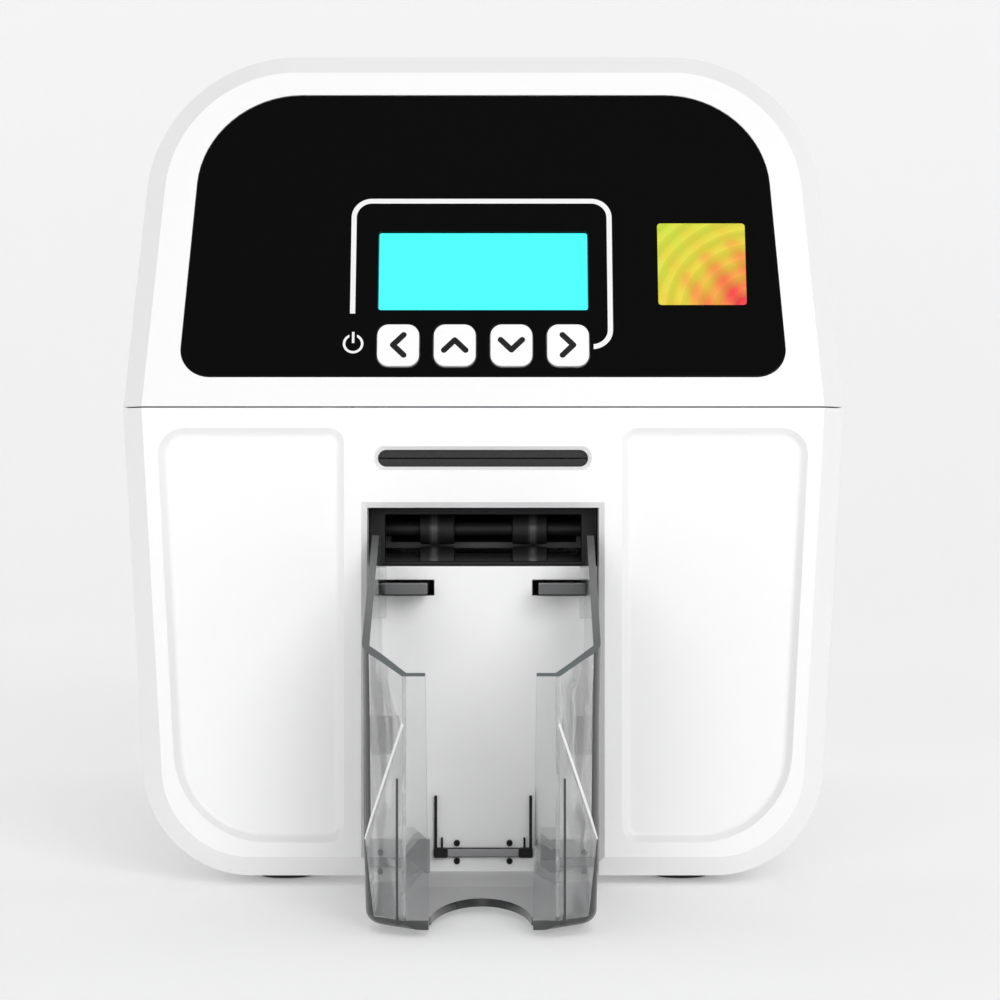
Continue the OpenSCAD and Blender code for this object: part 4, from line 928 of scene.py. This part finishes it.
# Lid ribs: six thin walls, moulded inside the upper case to stiffen it. They run up one side, under the top
# and down the other.
rib_deep = 3
lid_ribs = lid_room("lid_ribs", -0.3)
rib_slabs = [block("rib", (-120, 120), (d, d + 1.8), (parting + 8, top_z)) for d in range(85, 345, 50)]
carve(lid_ribs, [lid_room("inner", rib_deep)])
carve(lid_ribs, [joined("rib_slabs", rib_slabs)], "INTERSECT")
soften(lid_ribs, 0.25)
add_on(lid_ribs, "lid_shell", white_plastic)

# Control panel: a flat gloss-black moulding with a printed frame line and a printed power mark, and openings
# for the display and the four keys. Two posts on each side of the upper case hold it.
display_half = 30.1
display_gap_v = (29.8, 54.1)
key_half = 12.1 / 2
key_high = 12.8 / 2
key_v = 18.7
key_places = (-24.375, -8.125, 8.125, 24.375)
frame_x = (-37.6, 36.6)
frame_v = (18.4, 63.8)
frame_corner = 5.2
frame_line = 1.5
frame_start = 28.6
frame_end = 31.7
power_at = (-37.3, 19.3)
ring_r = 2.6
ring_break = 1.1
icon_line = 0.36
stroke_ends = (0.2, 3.6)
panel_black = new_material("gloss_black", (0.002, 0.002, 0.002), 0.12, Specular_IOR_Level=0.06)
shader, spot = panel_black[1:]


def slope_place(spot):
    """A place on the sloping front, in millimetres: across from the middle, and up from the parting line."""
    over = (spot.part("z") - mm(parting)) * (1000 * math.cos(lean))
    behind = (spot.part("y") - front_y) * (1000 * math.sin(lean))
    return spot.part("x") * 1000, over + behind


def hypotenuse(a, b):
    return (a * a + b * b).maths("SQRT")


across, up = slope_place(spot)
beside = (across - sum(frame_x) / 2).size() - ((frame_x[1] - frame_x[0]) / 2 - frame_corner)
over = (up - sum(frame_v) / 2).size() - ((frame_v[1] - frame_v[0]) / 2 - frame_corner)
outside = hypotenuse(beside.maths("MAXIMUM", 0), over.maths("MAXIMUM", 0))
from_line = (outside + beside.maths("MAXIMUM", over).maths("MINIMUM", 0) - frame_corner).size()
printed = (from_line < frame_line / 2) * (1 - (across < frame_end) * (up < frame_start))
aside = (across - power_at[0]).size()
above_icon = up - power_at[1]
from_ring = (hypotenuse(aside, above_icon) - ring_r).size()
ring = (from_ring < icon_line) * (1 - (aside < ring_break) * (above_icon > 0))
stroke = (aside < icon_line) * (above_icon > stroke_ends[0]) * (above_icon < stroke_ends[1])
printed = printed.maths("MAXIMUM", ring).maths("MAXIMUM", stroke)
printed.blend((0.002, 0.002, 0.002), (0.8, 0.8, 0.8)).into(shader, "Base Color")
(0.1 + 0.06 * spot.noise(20) + 0.3 * printed).into(shader, "Roughness")
panel_black = panel_black[0]
panel = panel_shape("control_panel_face", 0, (0, panel_thick))
gap_y = (-2, 4)
gaps = [slope_block("gap", (-display_half - 0.2, display_half + 0.2), display_gap_v, gap_y, 0.8, 4)]
for x in key_places:
    key_x = (x - key_half - 0.3, x + key_half + 0.3)
    key_gap_v = (key_v - key_high - 0.3, key_v + key_high + 0.3)
    gaps.append(slope_block("gap", key_x, key_gap_v, gap_y, 3.7))
carve(panel, gaps)
soften(panel, 0.35)
hand_over(panel, "control_panel", panel_black)

# Display: a pane that glows bright cyan in fine dots, in its opening in the control panel. A zinc-plated
# module behind the panel carries it.
cyan = new_material("display_cyan", (0.02, 0.4, 0.4), 0.15, Emission_Strength=0.9, Specular_IOR_Level=0.15)
shader, spot = cyan[1:]
rows = spot.part("z").wave(0.5) * spot.part("x").wave(0.5)
rows.blend((0.06, 0.97, 0.97), (0.075, 1, 1)).into(shader, "Emission Color")
dressed("display_glass", cyan[0], edge=0.1)
dressed("display_module", zinc, edge=0.3)

# Keys: four white caps in a row, each with a printed black chevron that points its own way, on a grey rubber
# mat and a board. A cap's round flange keeps it behind the panel.
mark_reach = 3.1
mark_tip = 1.5
mark_line = 1.7
for node, x, along, sign in (
    ("key_back", key_places[0], 0, -1),
    ("key_up", key_places[1], 1, 1),
    ("key_down", key_places[2], 1, -1),
    ("key_next", key_places[3], 0, 1),
):
    cap = new_material(node + "_cap", (0.86, 0.86, 0.86), 0.35, Specular_IOR_Level=0.25)
    shader, spot = cap[1:]
    across, up = slope_place(spot)
    offsets = (across - x, up - key_v)
    back = mark_tip - offsets[along] * sign
    aside = offsets[1 - along].size()
    nearest = ((back + aside) / 2).maths("MAXIMUM", 0).maths("MINIMUM", mark_reach)
    mark = hypotenuse(back - nearest, aside - nearest) < mark_line / 2
    mark.blend((0.86, 0.86, 0.86), (0.002, 0.002, 0.002)).into(shader, "Base Color")
    (0.32 + 0.1 * spot.noise(30)).into(shader, "Roughness")
    spot.noise(1900).relief(0.01).into(shader, "Normal")
    dressed(node, cap[0], edge=0.3, segments=3)
dressed("key_mat", rubber, edge=0.5)
dressed("panel_board", board_green[0], edge=0.15)

# Parts on the back of the panel board: two chips, a row of small resistors and a pale plug, and four ground
# steel screws into the posts of the upper case.
back_y = board_y + board_thick
panel_parts = [
    slope_block("chip", (-14, 0), (27, 41), (back_y, back_y + 1.6), 0.3, 2),
    slope_block("chip", (-40, -32), (32, 38), (back_y, back_y + 1.4), 0.3, 2),
    slope_block("plug", (22, 46), (20, 26), (back_y, back_y + 6), 0.5, 2),
]
for i in range(8):
    x = -52 + 5 * i
    panel_parts.append(slope_block("resistor", (x, x + 2.6), (48, 49.6), (back_y, back_y + 0.7), 0.2, 1))
for x in (-board_x, board_x):
    for v in board_vs:
        start, end = ((x, y, parting + v) for y in (back_y, back_y + 1.6))
        panel_parts.append(lean_back(rod("screw", start, end, 2.4, 24)))
panel_parts = joined("panel_board_parts", panel_parts)
soften(panel_parts, 0.12, 1)
add_on(
    panel_parts,
    "panel_board",
    mouth_black,
    (pale_plastic, lambda at, way: 21 < at.x < 47),
    (ground, lambda at, way: abs(at.x) > 60),
    slot_name="plastic_dark",
)

# Label: a square of thin foil, glued to the control panel. Its plain pattern of rays and rings shimmers from
# yellow-green to red.
label_at = (63.2, 44)
hot_corner = (16, -16)
foil = new_material("foil", (0.8, 0.5, 0.1), 0.25, Metallic=0.35)
shader, spot = foil[1:]
across, up = slope_place(spot)
label_x = across - label_at[0]
label_v = up - label_at[1]
from_corner = hypotenuse(label_x - hot_corner[0], label_v - hot_corner[1])
rays = ((label_x * 3 + label_v * 2) * 0.2).maths("SINE") * 0.5 + 0.5
rings = (from_corner * 1.4).maths("SINE") * 0.5 + 0.5
warmth = (1 - from_corner / 34) + 0.18 * rays + 0.12 * rings
leaf = warmth.blend((0.62, 0.72, 0.05), (0.9, 0.45, 0.04))
redness = ((warmth - 0.45) * 1.8).maths("MAXIMUM", 0).maths("MINIMUM", 1)
redness.blend(leaf, (0.8, 0.04, 0.05)).into(shader, "Base Color")
(0.2 + 0.15 * rings).into(shader, "Roughness")
(rings + rays).relief(0.03).into(shader, "Normal")
dressed("foil_label", foil[0], edge=0.03, segments=1)

# Print head: a brown ceramic bar under a finned aluminium block, on a folded zinc-plated bracket that hangs
# from the upper case.
aluminium = new_material("aluminium", (0.78, 0.79, 0.81), 0.3, Metallic=1)
shader, spot = aluminium[1:]
drawn = spot.stretched(60, 3000, 3000).noise(1, 2)
(0.22 + 0.2 * drawn).into(shader, "Roughness")
drawn.relief(0.01).into(shader, "Normal")
ceramic = grain(new_material("brown_ceramic", (0.2, 0.1, 0.05), 0.2), 0.3, 150, 0.2, 0.1, 800, 0.01)
dressed("head_bracket", zinc, edge=0.25)
dressed("heat_sink", aluminium[0], edge=0.2)
dressed("print_head", ceramic, edge=0.2)

# Hopper: a clear smoke-grey tray for the finished cards, moulded in one piece. Its front wall is open in the
# middle for a finger, its floor has a round notch, and hooks at its rear sit in notches of the bay panel.
hopper_reach = 90
hopper_floor = 1.7
hopper_wall = 2
hopper_rear = 100.6
hopper_front = 66
hopper_low_half = 29.7
hopper_high_half = 31.6
hopper_flat = 20
corner_low = 10
corner_high = 16
crease = (23.5, 53.7)
opening_low = 13.2
opening_high = 14.6
notch_reach = 42
rib_x = (20.4, 21.6)
rib_top = 40
hook_x = (16, 29.2)
hook_z = (83.9, 86.8)
hook_d = 15.7
side_hook_x = (27.7, 30.2)
side_hook_z = (77.1, 91.6)
lip_x = (15.3, 28.2)
lip_top = 13.4
low_round = 3.4
low_band = 4.1
side_round = 3.5
slant_round = 0.45
shaded_floor = -24.6
clear = {"Transmission_Weight": 1, "IOR": 1.3}
smoke = new_material("smoke_plastic", (0.84, 0.845, 0.85), 0.03, Alpha=0.6, **clear)
smoke[2].noise(14, 2).relief(0.05).into(smoke[1], "Normal")
# Painted shade: the outer side walls, seen almost edge-on, get a darker copy of the smoke plastic.
smoke_side_painted_shade = new_material("smoke_plastic_side", (0.4, 0.404, 0.41), 0.05, Alpha=0.75, **clear)
smoke_side_painted_shade[2].noise(14, 2).relief(0.05).into(smoke_side_painted_shade[1], "Normal")
smoke_floor = new_material("smoke_plastic_floor", (0.6, 0.605, 0.61), 0.4, Alpha=0.8, **clear)
smoke_floor[2].noise(700, 2).relief(0.03).into(smoke_floor[1], "Normal")
# Painted shade: in front of shaded_floor the hopper floor is painted darker; behind it, it is about as light
# as the walls.
rear_part = smoke_floor[2].part("y") > place(0, shaded_floor, 0)[1]
rear_part.blend((0.6, 0.605, 0.61), (0.85, 0.855, 0.86)).into(smoke_floor[1], "Base Color")
# Painted shade: the hooks and the top rims of the walls are painted dark grey on the clear plastic.
cut_edge_painted_shade = grain(new_material("smoke_edge", (0.1, 0.102, 0.104), 0.3), 0.2, 60, 0.3, 0.1, 500, 0.02)
# Painted shade: the rear lips and the sides of the finger opening are painted mid grey.
lip_opening_painted_shade = grain(new_material("smoke_lip", (0.26, 0.263, 0.266), 0.3), 0.2, 60, 0.3, 0.1, 500, 0.02)
# Painted shade: the side edges seen edge-on, the floor's front edge and the ribs are painted almost black.
near_black_painted_shade = grain(new_material("dark_smoke_edge", (0.04, 0.041, 0.042), 0.25), 0.3, 60, 0.25, 0.1, 500, 0.02)
# Painted highlight: the creases of the slanted corners are painted bright.
bright_edge = grain(new_material("bright_edge", (0.85, 0.85, 0.86), 0.2), 0.1, 60, 0.2, 0.1, 500, 0.02)


def hopper_half(z):
    """Half the width of the hopper at this height."""
    share = (z - hopper_floor) / (hopper_rear - hopper_floor)
    return hopper_low_half + (hopper_high_half - hopper_low_half) * share


def hopper_form(name, inset, low):
    """The outside of the hopper, or its inside: a tray whose front corners are cut off aslant.

    Below the two creases the corners are cut off less."""
    levels = (low, *crease, hopper_rear + 4)
    reach = hopper_reach - inset
    wide = hopper_half(low)
    piece = block(name, (-wide, wide), (-reach, 8), levels[:2])
    pick(piece, "EDGE", lambda at, way: abs(way.z) > 1 and at.y < 0)
    bevel(corner_low)
    for below, above in zip(levels[1:], levels[2:]):
        pick(piece, "FACE", lambda at, way: way.z > 0.5 and at.z > below - 0.01)
        bpy.ops.mesh.extrude_region_move(TRANSFORM_OT_translate={"value": mm(0, 0, above - below)})
    for level, corner in zip(levels, (corner_low, corner_low, corner_high, corner_high)):
        pick(piece, "VERT", lambda at, way: abs(at.z - level) < 0.01 and at.y > 1 - reach)
        squeeze((hopper_half(level) - inset) / wide)
        pick(piece, "VERT", lambda at, way: abs(at.z - level) < 0.01 and 1 - reach < at.y < 0)
        bpy.ops.transform.translate(value=mm(0, corner - corner_low, 0))
    pick(piece, "VERT", lambda at, way: at.y < 1 - reach)
    squeeze((hopper_flat - inset / 2) / (wide - corner_low))

    def crease_end(at, side):
        upper = abs(at.z - crease[1]) < 0.01 and at.y < 1 - reach
        lower = abs(at.z - crease[0]) < 0.01 and 1 - reach < at.y < 0
        return at.x * side > 0 and (upper or lower)

    for side in (-1, 1):
        pick(piece, "VERT", lambda at, way: crease_end(at, side))
        bpy.ops.mesh.vert_connect()
    return piece


hopper = hopper_form("hopper", 0, hopper_floor)
pick(hopper, "EDGE", lambda at, way: abs(way.x) > 5 and abs(way.z) > 20)
bevel(slant_round, 2)


def is_side_edge(at, way):
    return abs(way.z) > 5 and abs(way.x) < 3 and abs(at.x) > 28 and -85 < at.y < -70


pick(hopper, "EDGE", is_side_edge)
bevel(side_round, 4)
pick(hopper, "EDGE", lambda at, way: at.z < hopper_floor + 0.01 and abs(at.x) > 22 and at.y < 7)
bevel(low_round, 6)
over_floor = hopper_floor + hopper_wall + 0.2
inner = hopper_form("inner", hopper_wall, over_floor)
inner_half = hopper_low_half - hopper_wall
rear_gap = block("rear_gap", (-inner_half, inner_half), (-5, 12), (over_floor, hopper_rear + 10))
above = block("above", (-50, 50), (-hopper_reach - 5, 0), (hopper_rear, 130))
pick(above, "VERT", lambda at, way: at.z < hopper_rear + 1 and at.y < -1)
drop = (hopper_rear - hopper_front) / hopper_reach * (hopper_reach + 5)
bpy.ops.transform.translate(value=mm(0, 0, -drop))
above_rear = block("above_rear", (-50, 50), (-0.01, 20), (hopper_rear, 130))
finger_d = (-hopper_reach - 8, -hopper_reach + 8)
finger = block("finger", (-opening_low, opening_low), finger_d, (-1, hopper_rear))
pick(finger, "VERT", lambda at, way: at.z > 50)
squeeze(opening_high / opening_low)
notch = rod("notch", (0, -hopper_reach, -1), (0, -hopper_reach, over_floor + 0.8), opening_low)
pick(notch, "VERT", lambda at, way: True)
bpy.ops.transform.resize(value=(1, notch_reach / opening_low, 1), center_override=place(0, -hopper_reach, 0))
carve(hopper, [inner, rear_gap, above, above_rear, finger, notch])
hooks = []
for side in (-1, 1):
    rib = on_side(side, *rib_x)
    hooks.append(block("rib", rib, (-hopper_reach + 1, -hopper_reach + 3), (hopper_floor + 1, rib_top)))
    hook = on_side(side, *hook_x)
    hooks.append(block("hook", hook, (-3, hook_d), hook_z))
    side_hook = on_side(side, *side_hook_x)
    hooks.append(block("side_hook", side_hook, (-3, 7), side_hook_z))
    lip = on_side(side, *lip_x)
    hooks.append(block("lip", lip, (5, 7), (hopper_floor + 1, lip_top)))
carve(hopper, [joined("hooks", hooks)], "UNION")
soften(hopper, 0.3)
pick(hopper, "VERT", lambda at, way: True)
bpy.ops.mesh.bisect(plane_co=place(0, 0, low_band), plane_no=(0, 0, 1))
bpy.ops.object.mode_set(mode="OBJECT")


def on_crease(at, way):
    upper = Vector((hopper_flat, -hopper_reach, crease[1]))
    lower = Vector((hopper_half(crease[0]), -hopper_reach + corner_low, crease[0]))
    run = (lower - upper).normalized()
    return crease[0] < at.z < crease[1] and (Vector((abs(at.x), at.y, at.z)) - upper).cross(run).length < 0.5


def on_rib(at, way):
    return rib_x[0] - 0.1 < abs(at.x) < rib_x[1] + 0.1 and -89.2 < at.y < -86.9 and 4 < at.z < rib_top + 0.1


def on_side_edge(at, way):
    return hopper_half(at.z) - abs(at.x) < 2.4 and -88 < at.y < -68 and -way.y > 0.02


def on_hook(at, way):
    return hook_z[0] - 0.1 < at.z < hook_z[1] + 0.1 and abs(at.x) < 27.6 and at.y > -3.3


def on_lip(at, way):
    return low_band < at.z < lip_top + 0.1 and abs(at.x) < 27.5 and at.y > 4.9


def on_opening(at, way):
    return abs(at.x) < 15.2 and at.y < 3 - hopper_reach and low_band < at.z < 65


hand_over(
    hopper,
    "card_hopper",
    smoke[0],
    (smoke_side_painted_shade[0], lambda at, way: abs(way.x) > 0.9 and abs(at.x) > 26.5),
    (smoke_floor[0], lambda at, way: abs(way.z) > 0.9 and at.z < 5),
    (bright_edge, on_crease),
    (near_black_painted_shade, on_side_edge),
    (cut_edge_painted_shade, lambda at, way: on_hook(at, way) or way.z > 0.6 and at.z > 60 and at.y < 2),
    (lip_opening_painted_shade, lambda at, way: on_lip(at, way) or on_opening(at, way)),
    (near_black_painted_shade, lambda at, way: way.y < -0.05 and at.z < low_band or on_rib(at, way)),
)
